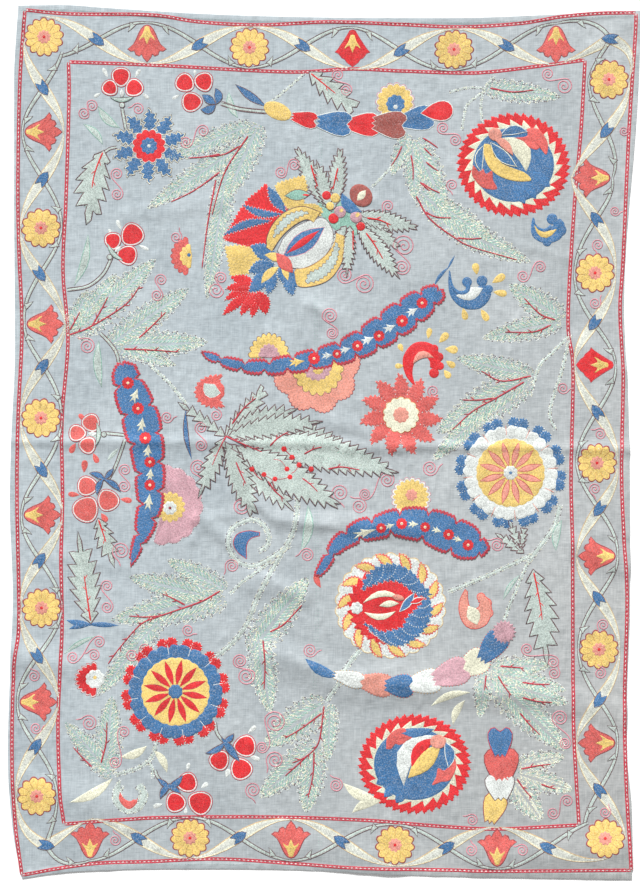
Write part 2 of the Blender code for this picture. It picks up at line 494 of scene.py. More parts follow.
def between(outer, inner, step=2.0):
    """A crescent from one curve to another, worked in to the line halfway between them."""
    outer, inner = smooth_path(outer, step), smooth_path(inner, step)
    count = max(len(outer), len(inner))
    outer, inner = even(outer, count), even(inner, count)
    share = np.linspace(0, 1, count)
    middle = np.interp(np.clip(share, 0.1, 0.9), share, (outer + inner) / 2)
    return Shape(np.concatenate([outer, inner[::-1]]), np.concatenate([middle, middle[::-1]]))


def placed(profile, base, heading, steps=3):
    """A shape that is the same on both sides of a line: profile gives (along, out) from base to tip."""
    points = np.array([complex(*point) for point in profile])
    share = np.arange(len(points))
    fine = np.linspace(0, len(points) - 1, (len(points) - 1) * steps + 1)
    half = np.interp(fine, share, points)
    both = np.concatenate([half[:-1], np.conj(half)[:0:-1]])
    heading = heading / abs(heading)
    return round_place(base + heading * both, base + heading * CORE_SHARE * points.real.max())


Batch = namedtuple("Batch", "plan rise bands across along unrolled")


class Needlework:
    """Stitching that is gathered patch by patch and sewn on as one mesh."""

    def __init__(self, settings, seed=0):
        self.settings = settings
        self.chance = np.random.default_rng(settings.seed + seed)
        self.batches = []
        self.patches = 0

    def patch(self, plan, rise, bands, across, along, unrolled=False):
        """A grid of places, or a stack of grids, with a thread for all of it or one for each band of rows.

        Each patch lies a hair higher than the one before it, up to LIFTS steps and then from the first
        again, so that neighbours in a layer are seldom level.
        """
        plan = plan if plan.ndim == 3 else plan[None]
        if isinstance(bands, str):
            bands = [bands] * (plan.shape[1] - 1)
        rise = rise + LIFT * ((self.patches + np.arange(len(plan))[:, None, None]) % LIFTS)
        self.patches += len(plan)
        rise, across, along = (np.broadcast_to(part, plan.shape) for part in (rise, across, along))
        self.batches.append(Batch(plan, rise, bands, across, along, unrolled))

    def fill(self, shape, *bands, layer=0):
        """Rows worked round a shape from its outline in to its core.

        bands holds (thread, width) pairs from the edge inwards, then the thread for the rest. A row lies at
        its depth over the distance from outline to core, and each band swells up between its edges.
        """
        outline = np.append(shape.outline, shape.outline[0])
        core = np.append(shape.core, shape.core[0])
        parts = np.ceil(np.maximum(abs(np.diff(outline)) / CELL, 1)).astype(int)
        place = np.append(np.repeat(np.arange(len(parts)), parts), len(parts)).astype(float)
        within_part = np.arange(parts.sum()) - np.repeat(np.cumsum(parts) - parts, parts)
        place[:-1] += within_part / np.repeat(parts, parts)
        outline, core = (np.interp(place, np.arange(len(parts) + 1), side) for side in (outline, core))
        reach = abs(core - outline)
        depths, swells, threads = [0.0], [0.0], []
        inner = 0.0
        for thread, width in bands[:-1]:
            depths += [inner + 0.4 * width, inner + width]
            swells += [1.0, 0.75]
            threads += [thread, thread]
            inner += width
        further = max(1, round((reach.max() - inner) / CELL))
        depths += [inner + 0.7]
        swells += [1.0] + [1.15] * further
        threads += [bands[-1]] * (1 + further)
        share = np.array(depths)[:, None] / np.maximum(reach, 1e-3)
        share = np.minimum(share, np.linspace(0, 0.6, len(depths))[:, None])
        rest = np.linspace(0, 1, further + 1)[1:, None]
        share = np.concatenate([share, share[-1] + (1 - share[-1]) * rest])
        swell = np.array(swells)[:, None] * np.minimum(reach / 1.2, 1)
        rise = layer * LAYER - SUNK + (self.settings.crown + SUNK) * swell
        along = run_along(outline)
        plan = outline + (core - outline) * share
        self.patch(plan, rise, threads, share * reach * ROW, along * ROW)

    def line(self, path, thread, width=1.0, layer=0, closed=False):
        """A crowned run of stitching along a path, or along each path of a stack, tapered at its ends."""
        path = path if path.ndim == 2 else path[None]
        if closed:
            side = np.stack([sideways(each, closed=True) for each in path])
            path = np.concatenate([path, path[:, :1]], 1)
            side = np.concatenate([side, side[:, :1]], 1)
            ends = np.ones(path.shape[1])
        else:
            side = np.stack([sideways(each) for each in path])
            ends = np.ones(path.shape[1])
            ends[[0, -1]] = 0.4
        half = np.broadcast_to(np.asarray(width) / 2, path.shape) * ends
        across = np.array([-1, -0.5, 0.5, 1])[None, :, None]
        plan = path[:, None] + side[:, None] * half[:, None] * across
        swell = np.array([0, 1, 1, 0])[None, :, None] * (ends > 0.5)
        rise = layer * LAYER - SUNK + (self.settings.crown + SUNK) * 0.9 * swell
        along = np.concatenate([np.zeros((len(path), 1)), np.cumsum(abs(np.diff(path)), 1)], 1)
        self.patch(plan, rise, thread, (across + 1) * half[:, None] * ROW, along[:, None] * ROW, unrolled=True)

    def stitches(self, start, end, thread, width=1.0, layer=0):
        """Single stitches, each a raised lozenge from start to end."""
        start, end = np.ravel(start), np.ravel(end)
        side = 1j * (end - start) / np.maximum(abs(end - start), 1e-6) * width / 2
        middle = (start + end) / 2
        left = np.stack([start, middle - side, end], -1)
        centre = np.stack([start, middle, end], -1)
        right = np.stack([start, middle + side, end], -1)
        plan = np.stack([left, centre, right], 1)
        swell = np.array([[0, 0, 0], [0, 1, 0], [0, 0, 0]])
        rise = layer * LAYER - SUNK + (self.settings.crown + SUNK) * swell
        across = np.array([0, width / 2, width])[None, :, None] * ROW
        along = np.array([0, 0.5, 1]) * abs(end - start)[:, None, None] * ROW
        self.patch(plan, rise, thread, across, along, unrolled=True)

    def dots(self, places, radius, thread, layer=0):
        """Round knots, each a low dome."""
        places = np.ravel(places)
        ring = np.exp(2j * np.pi * np.arange(7) / 6)
        plan = places[:, None, None] + radius * np.stack([ring, 0.6 * ring, 0 * ring])
        swell = np.array([0, 1, 1.2])[:, None]
        rise = layer * LAYER - SUNK + (self.settings.crown + SUNK) * swell
        across = np.array([0, 0.4, 1])[:, None] * radius * ROW
        self.patch(plan, rise, thread, across, np.arange(7) / 6 * 6.3 * radius * ROW)

    def sew(self, name):
        """Puts every patch on the silk, joined where its own places meet, and makes the object."""
        threads = sorted({thread for batch in self.batches for thread in batch.bands})
        points, stitch, bake, patches, faces, finishes, dyes = [], [], [], [], [], [], []
        first_patch, first_point = 0, 0
        corners, whole_side = shelf_places(np.concatenate([patch_sizes(batch) for batch in self.batches]))
        for batch in self.batches:
            count, rows, columns = batch.plan.shape
            x, y = on_cloth(batch.plan)
            points.append(np.stack([x, y, batch.rise], -1).reshape(-1, 3))
            stitch.append(np.stack([batch.across, batch.along], -1).reshape(-1, 2))
            here = corners[first_patch : first_patch + count, None, None]
            bake.append((flat_places(batch) + here).reshape(-1, 2) / whole_side)
            number = np.arange(first_patch, first_patch + count)
            patches.append(np.repeat(number, rows * columns))
            dyes.append(np.repeat(self.chance.uniform(-1, 1, count), rows * columns))
            index = np.arange(rows * columns).reshape(rows, columns)
            a, b, c, d = index[:-1, :-1], index[1:, :-1], index[1:, 1:], index[:-1, 1:]
            triangles = np.stack([np.stack([a, b, c], -1), np.stack([a, c, d], -1)], 2).reshape(-1, 3)
            flat = (x + 1j * y).reshape(count, -1)[:, triangles]
            area = ((flat[..., 1] - flat[..., 0]).conj() * (flat[..., 2] - flat[..., 0])).imag
            turned = np.where((area < 0)[..., None], triangles[:, ::-1], triangles)
            offset = first_point + np.arange(count)[:, None, None] * rows * columns
            faces.append((turned + offset).reshape(-1, 3))
            band = np.array([threads.index(thread) for thread in batch.bands])
            finishes.append(np.tile(np.repeat(band, (columns - 1) * 2), count))
            first_patch += count
            first_point += count * rows * columns
        points, stitch, bake = np.concatenate(points), np.concatenate(stitch), np.concatenate(bake)
        points[:, 2] += cloth_top(points[:, 0], points[:, 1])
        patches, faces = np.concatenate(patches), np.concatenate(faces)
        finishes, dyes = np.concatenate(finishes), np.concatenate(dyes)
        spot = np.round((points[:, :2] + 1) * 1e6).astype(np.int64)
        key = (patches.astype(np.int64) << 42) + (spot[:, 0] << 21) + spot[:, 1]
        _, kept, joined = np.unique(key, return_index=True, return_inverse=True)
        corner = joined[faces]
        whole = (corner[:, 0] != corner[:, 1]) & (corner[:, 1] != corner[:, 2]) & (corner[:, 2] != corner[:, 0])
        mesh = triangle_mesh(name, points[kept], corner[whole], finishes[whole])
        for layer_name, values in (("OFBake", bake), ("Stitch", stitch)):
            layer = mesh.uv_layers.new(name=layer_name)
            layer.data.foreach_set("uv", values[faces[whole]].ravel())
        mesh.attributes.new("Dye", "FLOAT", "POINT").data.foreach_set("value", dyes[kept])
        for thread in threads:
            mesh.materials.append(thread_material(thread, self.settings))
        return add_piece(name, mesh)


def flat_places(batch):
    """Each patch laid out for its own part of the texture: as drawn, or a run of stitching straightened."""
    if batch.unrolled:
        return np.stack([batch.across, batch.along], -1)
    flat = np.stack([batch.plan.real, batch.plan.imag], -1) * ROW
    return flat - flat.min((1, 2), keepdims=True)


def patch_sizes(batch):
    return flat_places(batch).max((1, 2))


def shelf_places(sizes):
    """Corners of boxes stood on shelves, the tallest first, and the side of the square that holds them."""
    gap = 0.3 * ROW
    sizes = sizes + gap
    side = max(np.sqrt(sizes.prod(1).sum() * 1.1), sizes.max())
    corners = np.zeros_like(sizes)
    x, y, shelf = 0.0, 0.0, 0.0
    for number in np.argsort(-sizes[:, 1], kind="stable"):
        if x + sizes[number, 0] > side:
            x, y, shelf = 0.0, y + shelf, 0.0
        corners[number] = x, y
        x += sizes[number, 0]
        shelf = max(shelf, sizes[number, 1])
    return corners, max(side, y + shelf)


def triangle_mesh(name, points, triangles, finishes=None):
    """A smooth mesh of triangles."""
    mesh = bpy.data.meshes.new(name)
    mesh.vertices.add(len(points))
    mesh.vertices.foreach_set("co", points.ravel())
    mesh.loops.add(triangles.size)
    mesh.loops.foreach_set("vertex_index", triangles.ravel())
    mesh.polygons.add(len(triangles))
    mesh.polygons.foreach_set("loop_start", np.arange(len(triangles)) * 3)
    if finishes is not None:
        mesh.polygons.foreach_set("material_index", finishes)
    mesh.update(calc_edges=True)
    mesh.shade_smooth()
    mesh.set_sharp_from_angle(angle=np.radians(SHARP_TURN))
    return mesh


def add_piece(name, mesh):
    if name in bpy.data.objects:
        raise RuntimeError(f"{name} is already there, so remove it before making it again")
    piece = bpy.data.objects.new(name, mesh)
    bpy.context.scene.collection.objects.link(piece)
    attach(piece, "root")
    return piece


class NodeDesk:
    """Short calls for wiring a material's nodes."""

    def __init__(self, name):
        self.material = bpy.data.materials.new(name)
        self.material.use_nodes = True
        self.tree = self.material.node_tree
        self.shader = self.tree.nodes["Principled BSDF"]

    def node(self, kind, **inputs):
        node = self.tree.nodes.new(kind)
        for key, value in inputs.items():
            self.feed(node.inputs[key.replace("_", " ")], value)
        return node

    def feed(self, socket, value):
        if isinstance(value, bpy.types.NodeSocket):
            self.tree.links.new(value, socket)
        else:
            socket.default_value = value

    def math(self, operation, *values):
        node = self.tree.nodes.new("ShaderNodeMath")
        node.operation = operation
        for socket, value in zip(node.inputs, values):
            self.feed(socket, value)
        return node.outputs[0]

    def mix(self, share, first, second, blend="MIX"):
        node = self.tree.nodes.new("ShaderNodeMix")
        node.data_type = "RGBA"
        node.blend_type = blend
        self.feed(node.inputs[0], share)
        for socket, value in zip(node.inputs[6:8], (first, second)):
            self.feed(socket, value if isinstance(value, bpy.types.NodeSocket) else (*value, 1))
        return node.outputs[2]

    def noise(self, vector, scale, stretch=(1, 1, 1), detail=2.0):
        moved = self.node("ShaderNodeMapping", Vector=vector, Scale=stretch)
        node = self.node("ShaderNodeTexNoise", Vector=moved.outputs[0], Scale=scale, Detail=detail)
        return node.outputs[0]

    def bump(self, height, distance, strength=1.0, under=None):
        node = self.node("ShaderNodeBump", Height=height, Distance=distance, Strength=strength)
        if under is not None:
            self.feed(node.inputs["Normal"], under)
        return node.outputs[0]


# How strongly the ground and worn stitches show through, for threads where it isn't the usual 1.6
WORN = {"scarlet": 0.7, "blue": 2.6, "coral": 1.2, "white": 0.5, "cream": 0.5, "pearl": 0.8, "bone": 0.6, "dark": 2.5}


def thread_material(thread, settings):
    """Silk chain stitch: V-shaped links in rows one stitch wide, read from the patch's own Stitch map."""
    name = thread + "_thread"
    if name in bpy.data.materials:
        return bpy.data.materials[name]
    desk = NodeDesk(name)
    base = tuple(getattr(settings.threads, thread))
    where = desk.node("ShaderNodeUVMap")
    where.uv_map = "Stitch"
    parts = desk.node("ShaderNodeSeparateXYZ", Vector=where.outputs[0])
    row = desk.math("DIVIDE", parts.outputs[0], ROW)
    off = desk.math("SUBTRACT", desk.math("FRACT", row), 0.5)
    off = desk.math("ABSOLUTE", off)
    link = desk.math("ADD", desk.math("DIVIDE", parts.outputs[1], settings.link), off)
    wave = desk.math("COSINE", desk.math("MULTIPLY", link, 2 * np.pi))
    crown = desk.math("SUBTRACT", 1.0, desk.math("MULTIPLY", desk.math("MULTIPLY", off, off), 4.0))
    height = desk.math("MULTIPLY", crown, desk.math("MULTIPLY_ADD", wave, 0.3, 0.7))
    place = desk.node("ShaderNodeTexCoord").outputs["Object"]
    fine = desk.noise(place, 420, detail=3)
    broad = desk.noise(place, 46)
    dye = desk.node("ShaderNodeAttribute")
    dye.attribute_name = "Dye"
    shade = desk.math("MULTIPLY_ADD", fine, 1.4, 0.18)
    shade = desk.math("MULTIPLY_ADD", broad, 0.5, desk.math("SUBTRACT", shade, 0.25))
    shade = desk.math("MULTIPLY_ADD", dye.outputs["Fac"], 0.07, shade)
    # Painted shade: the colour darkens in the grooves between links and rows, and is a little lighter on their
    # crowns.
    shade = desk.math("MULTIPLY", shade, desk.math("MULTIPLY_ADD", height, 0.30, 0.82))
    grey = desk.node("ShaderNodeCombineColor", Red=shade, Green=shade, Blue=shade)
    tinted = desk.mix(1.0, base, grey.outputs[0], "MULTIPLY")
    worn = desk.math("MULTIPLY", desk.math("SUBTRACT", desk.noise(place, 620), 0.5), WORN.get(thread, 1.6))
    worn = desk.math("MINIMUM", desk.math("MAXIMUM", worn, 0.0), 0.8)
    pale = tuple(0.35 * value + 0.65 * 0.72 for value in base)
    desk.feed(desk.shader.inputs["Base Color"], desk.mix(worn, tinted, pale))
    desk.feed(desk.shader.inputs["Roughness"], desk.math("MULTIPLY_ADD", fine, 0.2, 0.45))
    desk.shader.inputs["Sheen Weight"].default_value = 0.12
    desk.shader.inputs["Sheen Roughness"].default_value = 0.4
    desk.shader.inputs["Specular IOR Level"].default_value = 0.3
    desk.feed(desk.shader.inputs["Normal"], desk.bump(height, 0.0004, 0.7))
    return desk.material


def silk_material(settings):
    """Hand-woven silk: slubs along both threads of the weave, faded streaks and a fine rib."""
    name = "silk_ground"
    desk = NodeDesk(name)
    place = desk.node("ShaderNodeTexCoord").outputs["Object"]
    weft = desk.noise(place, 1.0, (44, 1000, 1), detail=3)
    warp = desk.noise(place, 1.0, (850, 30, 1), detail=3)
    cloud = desk.noise(place, 7, detail=4)
    mottle = desk.noise(place, 90, detail=4)
    streak = desk.math("MULTIPLY_ADD", warp, 1.0, desk.math("MULTIPLY", weft, 1.3))
    share = desk.math("MULTIPLY_ADD", cloud, 1.3, desk.math("SUBTRACT", streak, 1.3))
    share = desk.math("MINIMUM", desk.math("MAXIMUM", share, 0.0), 1.0)
    base = desk.mix(share, tuple(settings.silk), tuple(settings.faded))
    shade = desk.math("MULTIPLY_ADD", weft, 0.26, desk.math("MULTIPLY_ADD", warp, 0.22, 0.76))
    shade = desk.math("MULTIPLY_ADD", mottle, 0.48, desk.math("SUBTRACT", shade, 0.24))
    parts = desk.node("ShaderNodeSeparateXYZ", Vector=place).outputs
    # Painted shade: the ground is made a little darker towards the bottom of the cloth, where the light falls off.
    low = desk.math("MINIMUM", desk.math("MULTIPLY_ADD", parts[1], 0.15, 1.03), 1.0)
    shade = desk.math("MULTIPLY", shade, low)
    # The ground turns warmer and a little darker towards the lower right.
    warm_lower_right = desk.math("MULTIPLY_ADD", parts[0], 0.9, desk.math("MULTIPLY_ADD", parts[1], -0.4, 0.2))
    warm_lower_right = desk.math("MINIMUM", desk.math("MAXIMUM", warm_lower_right, 0.0), 1.0)
    base = desk.mix(1.0, base, desk.mix(warm_lower_right, (1, 1, 1), (1, 0.89, 0.82)), "MULTIPLY")
    grey = desk.node("ShaderNodeCombineColor", Red=shade, Green=shade, Blue=shade)
    desk.feed(desk.shader.inputs["Base Color"], desk.mix(1.0, base, grey.outputs[0], "MULTIPLY"))
    desk.feed(desk.shader.inputs["Roughness"], desk.math("MULTIPLY_ADD", weft, 0.2, 0.5))
    desk.shader.inputs["Sheen Weight"].default_value = 0.1
    desk.shader.inputs["Specular IOR Level"].default_value = 0.25
    rib = desk.math("ADD", weft, desk.math("MULTIPLY", warp, 0.6))
    wrinkle = desk.bump(desk.noise(place, 48, detail=5), 0.0024, 0.6)
    drawn = desk.math("ABSOLUTE", desk.math("SUBTRACT", desk.noise(place, 9, (1.5, 0.8, 1)), 0.5))
    drawn = desk.math("SUBTRACT", 1.0, desk.math("MINIMUM", desk.math("MULTIPLY", drawn, 16), 1.0))
    wrinkle = desk.bump(desk.math("MULTIPLY", drawn, cloud), 0.0016, 0.45, wrinkle)
    desk.feed(desk.shader.inputs["Normal"], desk.bump(rib, 0.0003, 0.6, wrinkle))
    return desk.material


def lay_cloth(settings):
    """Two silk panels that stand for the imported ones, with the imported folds, fine creases and hems."""
    silk = silk_material(settings)
    half = from_hem(LENGTH / 2, CELLS_ALONG // 2) / 2
    down = np.concatenate([half, 1 - half[-2::-1]])
    for name, node, side in (("left_silk", "left_panel", -1), ("right_silk", "right_panel", 1)):
        width = SEAM_SHARE if side < 0 else 1 - SEAM_SHARE
        across = width * from_hem(width * WIDTH, CELLS_ACROSS)
        across = across if side < 0 else 1 - across[::-1]
        u, v = np.meshgrid(across, down)
        x, y = laid_place(u, v)
        under = cloth_under(x, y)
        edge = np.minimum(np.minimum(u, 1 - u), np.minimum(v, 1 - v))
        over = under + THICKNESS + HEM_EXTRA * hem_share(u, v) * np.where(edge < 1e-6, 0.4, 1)
        points = np.concatenate([np.stack([x, y, z], -1).reshape(-1, 3) for z in (under, over)])
        faces = sheet_faces(*u.shape)
        mesh = triangle_mesh(name, points, faces)
        mesh.materials.append(silk)
        spread = points[:, :2] / (WIDTH, LENGTH) + 0.5
        spread[:, 0] = (spread[:, 0] * 2 - (side > 0)) * 0.49 + 0.005 + 0.5 * (np.arange(len(points)) >= x.size)
        mesh.uv_layers.new(name="OFBake").data.foreach_set("uv", spread[faces].ravel())
        piece = add_piece(name, mesh)
        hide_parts(node)


def sew_hems(settings):
    """Running stitches that hold the hems, and those of the seam, which hardly show."""
    work = Needlework(settings, 16)
    along = np.arange(HEM_START, LENGTH - HEM_START, HEM_STITCH) / LENGTH
    across = np.arange(HEM_START, WIDTH - HEM_START, HEM_STITCH) / WIDTH
    hem_u, hem_v = (HEM_WIDTH * HEM_LINE) / WIDTH, (HEM_WIDTH * HEM_LINE) / LENGTH
    rows = [(np.full_like(along, u), along) for u in (hem_u, 1 - hem_u)]
    rows += [(np.full_like(along, SEAM_SHARE + side * SEAM_LINE), along) for side in (-1, 1)]
    rows += [(across, np.full_like(across, v)) for v in (hem_v, 1 - hem_v)]
    for u, v in rows:
        x, y = laid_place(u, v)
        plan = x / ROW + MIDDLE.real + 1j * (MIDDLE.imag - y / ROW)
        heading = np.gradient(plan)
        heading = 0.75 * heading / abs(heading)
        work.stitches(plan - heading, plan + heading, "mint", 0.55)
    work.sew("hem_stitches")


# The border

OUTER_LINE = (
    ((25, 10), (70, 14), (150, 15), (200, 22), (260, 25), (330, 22), (400, 24.5), (460, 27), (520, 23.5),
     (560, 17), (600, 13.5), (636, 13)),
    ((636, 13), (635, 40), (629, 130), (623, 260), (620, 310), (623, 380), (621.5, 470), (624, 540), (627, 600),
     (624.5, 700), (626, 780), (631, 870)),
    ((631, 870), (500, 871), (450, 870), (360, 868), (300, 864), (220, 859), (150, 861.5), (100, 863), (60, 868),
     (22, 875)),
    ((22, 875), (15, 820), (12, 750), (14, 670), (19, 620), (17, 500), (18, 420), (22, 330), (19, 250),
     (18, 180), (20, 80), (25, 10)),
)
INNER_LINE = (
    ((68.5, 62), (150, 65), (240, 70), (300, 72), (350, 69), (400, 71), (460, 73), (490, 72), (540, 66),
     (585, 60)),
    ((585, 60), (581, 130), (574, 210), (568, 320), (573, 370), (571, 475), (572.5, 550), (573, 680), (574, 740),
     (579, 825)),
    ((579, 825), (500, 829), (450, 827), (400, 823), (360, 820), (270, 817), (150, 818), (64, 824)),
    ((64, 824), (60, 790), (58, 720), (62, 630), (61, 560), (62.5, 500), (62, 420), (68, 340), (63, 270),
     (66, 200), (69, 100), (68.5, 62)),
)

# The blooms clockwise from the upper left, and the calyx after each. side is the edge that it stands on.
Bloom = namedtuple("Bloom", "kind x y side calyx_x calyx_y")

BLOOMS = table(
    Bloom,
    ("rosette", 44, 37, "corner", 97, 40), ("tulip", 147, 43, "top", 199, 45),
    ("rosette", 249.5, 47.5, "top", 303, 46), ("red", 352.5, 48, "top", 401, 51),
    ("rosette", 454, 49.5, "top", 507, 46), ("tulip", 556, 44, "top", 610, 39),
    ("rosette", 609, 79.5, "right", 606, 131), ("tulip", 592, 178, "right", 596, 219),
    ("rosette", 595, 273, "right", 594, 323), ("red", 595, 365, "right", 597, 412),
    ("rosette", 597, 463, "right", 599, 509), ("tulip", 597, 556, "right", 598, 598),
    ("rosette", 599, 649.5, "right", 599, 700), ("tulip", 597, 743, "right", 599, 790),
    ("rosette", 605, 838, "corner", 547, 847), ("tulip", 497, 848, "bottom", 447, 847),
    ("rosette", 395, 845, "bottom", 341, 841), ("tulip", 291, 840, "bottom", 239, 837),
    ("rosette", 190, 838, "bottom", 138, 838), ("tulip", 90, 840, "bottom", 46, 845),
    ("rosette", 37, 796, "left", 36, 746), ("tulip", 38, 702, "left", 38, 656),
    ("rosette", 41.5, 608, "left", 40, 560), ("tulip", 42, 515, "left", 42, 470),
    ("rosette", 41, 418, "left", 43, 366), ("tulip", 45, 324, "left", 40, 274),
    ("rosette", 41, 228, "left", 43, 179), ("tulip", 43, 132, "left", 43, 88),
)

# How far the vine swings to each side of the blooms, a rosette's radius and a tulip's reach, in rows
VINE_SWING = 20.5
ROSETTE = 20.4
TULIP_REACH = 18.7
OUTWARD = {"top": -1j, "right": 1, "bottom": 1j, "left": -1}

# Half of a tulip from its base to its tip, of the flame in it, and of the squarer red one: along, out
TULIP = (
    (0, 0), (1, 3.2), (4, 6.2), (9, 9), (15, 11.4), (20, 14), (23.5, 18), (25, 20), (27.5, 16.5), (27, 13),
    (31, 11.5), (32.5, 8), (30.5, 5.5), (34, 4), (38.5, 0),
)
FLAME = (
    (1.5, 0), (2.2, 2.2), (6, 3.4), (10, 5), (14, 7.6), (16.5, 8.4), (13.8, 5), (13.4, 3), (16, 2), (20.5, 0),
)
RED_TULIP = (
    (0, 0), (1, 3), (7, 6.5), (14, 11), (20, 15), (23, 18), (24.5, 14.5), (29, 11), (30.5, 8), (33.5, 6),
    (38, 0),
)


def stitched_line(work, sides, dash, gap):
    """Two rows of crimson with white stitches lying between them, along a closed line.

    Each row is worked in runs that overlap a little.
    """
    points, overlap = 40, 4
    for side in sides:
        path = smooth_path(side, 3.0)
        out = sideways(path)
        for offset in (-0.95, 0.95):
            run = path + out * offset
            for first in range(0, len(run) - 1, points):
                part = run[first : first + points + overlap]
                if len(part) > 2:
                    work.line(part, "crimson", 1.95)
        length = abs(np.diff(path)).sum()
        count = int(length / (dash + gap))
        share = (np.arange(count) + 0.5) / count
        middle = np.interp(share, np.linspace(0, 1, len(path)), path)
        heading = -1j * sideways(middle)
        wobble = work.chance.uniform(-0.25, 0.25, count) + 1
        work.stitches(middle - heading * dash / 2 * wobble, middle + heading * dash / 2, "white", 1.5, 1)


def embroider_border_lines(settings):
    work = Needlework(settings, 1)
    stitched_line(work, OUTER_LINE, 2.6, 1.7)
    stitched_line(work, INNER_LINE, 2.6, 1.7)
    work.sew("border_lines")


def vine_path(flower, following, sign, s):
    """From one bloom round to the next, by way of the calyx.

    It is the straight run between them, a swing to one side at the first and to the other at the second, and a
    sine that carries the middle to the calyx.
    """
    a, b = complex(flower.x, flower.y), complex(following.x, following.y)
    calyx = complex(flower.calyx_x, flower.calyx_y)
    first, second = OUTWARD.get(flower.side), OUTWARD.get(following.side)
    first, second = first or second, second or first
    swing = first * np.maximum(np.cos(np.pi * s), 0) + second * np.minimum(np.cos(np.pi * s), 0)
    return (1 - s) * a + s * b + VINE_SWING * sign * swing + (calyx - (a + b) / 2) * np.sin(np.pi * s)


def embroider_vine(settings):
    """White leaves and outlined stems that wind round the blooms, and a blue calyx where they cross."""
    work = Needlework(settings, 2)
    for flower, following in zip(BLOOMS, BLOOMS[1:] + BLOOMS[:1]):
        sign = 1 if flower.kind == "rosette" else -1
        s = np.linspace(-0.04, 1.04, 19)
        leaf = vine_path(flower, following, sign, s)
        half = 0.6 + 5.0 * np.clip(np.sin(np.pi * s), 0, 1) ** 1.5
        work.fill(along_path(leaf, half), ("straw", 0.5), ("cream", 1.5), "bone")
        s = np.linspace(0.14 * (flower.side == "corner"), 1 - 0.14 * (following.side == "corner"), 21)
        path = vine_path(flower, following, -sign, s)
        out = sideways(path)
        wide = 0.9 + 1.1 * np.sin(np.pi * s)
        work.line(path, "pearl", 2 * wide)
        for edge in (-1, 1):
            work.line(path + edge * out * wide, "dark", 0.75, 1)
        for spot, ahead, near in ((4, 1, flower), (16, -1, following)):
            base = path[spot]
            inward = out[spot]
            if ((complex(near.x, near.y) - base) * inward.conjugate()).real < 0:
                inward = -inward
            run = ahead * -1j * out[spot]
            root, tip = base - 3.4 * run - 0.6 * inward, base + 6.8 * inward + 4.4 * run
            work.fill(blade(root, tip, 3.8, 0.6 * ahead, thorn, 6), ("dark", 0.9), "pearl", layer=1)
        heading = vine_path(flower, following, sign, np.array([0.46, 0.54]))
        heading = heading[1] - heading[0]
        heading = heading / abs(heading) * (1 if sign > 0 else -1)
        calyx = complex(flower.calyx_x, flower.calyx_y)
        profile = ((4.5, 0), (0, 4.2), (5, 5.2), (10, 5), (14, 3.4), (17.5, 0))
        work.fill(placed(profile, calyx - 8.5 * heading, heading), ("dark", 0.6), "blue", layer=2)
    work.sew("border_vine")


def embroider_border_flowers(settings):
    """Yellow rosettes and coral tulips, each tulip standing with its base to the cloth's edge."""
    work = Needlework(settings, 3)
    for flower in BLOOMS:
        centre = complex(flower.x, flower.y)
        if flower.kind == "rosette":
            count = 12 + int(work.chance.integers(0, 2))
            turn = work.chance.uniform(0, 0.5)
            work.fill(bloom(centre, ROSETTE, count, 0.15, turn), ("maroon", 1.5), "yellow")
            for petal in range(count):
                ray = np.exp(1j * (turn + 2 * np.pi * petal / count))
                work.line(centre + ray * np.linspace(8, 17, 5), "straw", 1.0, 1)
                ray = np.exp(1j * (turn + 2 * np.pi * (petal + 0.5) / count))
                work.line(centre + ray * np.linspace(12, 17.5, 4), "cream", 2.0)
            work.fill(bloom(centre, 7.4, 9, 0.2, turn), "blush", layer=1)
            work.dots([centre], 2.2, "scarlet", 2)
        else:
            out = OUTWARD.get(flower.side)
            base = centre + TULIP_REACH * out
            if flower.kind == "red":
                work.fill(placed(RED_TULIP, base, -out), ("crimson", 0.9), "scarlet")
                work.fill(placed(FLAME, base - 3.5 * out, -out), "yellow", layer=1)
            else:
                work.fill(placed(TULIP, base, -out), ("maroon", 1.2), "coral")
                work.fill(placed(FLAME, base, -out), "yellow", layer=1)
    work.sew("border_flowers")


# The field

Petal = namedtuple("Petal", "thread x0 y0 x1 y1 half bend rim layer profile", defaults=(0, "", 0, lens))

Trefoil = namedtuple("Trefoil", "thread calyx_thread calyx_x calyx_y berries stem")

TREFOILS = table(
    Trefoil,
    ("scarlet", "mint", 122, 99, ((121, 77, 9), (110, 88, 7.5), (134, 88, 8.5)), ((122, 108), (126, 130))),
    ("scarlet", "blue", 211, 101, ((185, 83, 9), (204, 82, 9), (192, 102, 9.5)),
     ((221, 104), (240, 109), (267, 112))),
    ("scarlet", "mint", 114, 253, ((132, 235, 11), (113, 241, 8), (127, 255, 9.5)),
     ((112, 257), (103, 274), (88, 286), (67, 290))),
    ("scarlet", "pearl", 169, 787, ((187, 782.5, 9.5), (175.5, 802, 9.5), (200, 802.5, 11.5)),
     ((161, 781), (157, 776), (155, 770))),
    ("scarlet", "pearl", 229, 748, ((244.8, 746, 10.5), (219.6, 760, 9.5), (241, 768.5, 10.5)),
     ((223, 741), (217, 733), (215, 722))),
    ("coral", "mint", 98, 434, ((91, 423, 8.5), (77.5, 433, 8), (88, 445, 8)),
     ((105, 433), (115, 434), (125, 435))),
    ("coral", "pearl", 101, 487, ((87.5, 486, 9.5), (86, 509, 12.5), (108, 500, 10.5)),
     ((108, 480), (116, 465), (125, 440))),
)

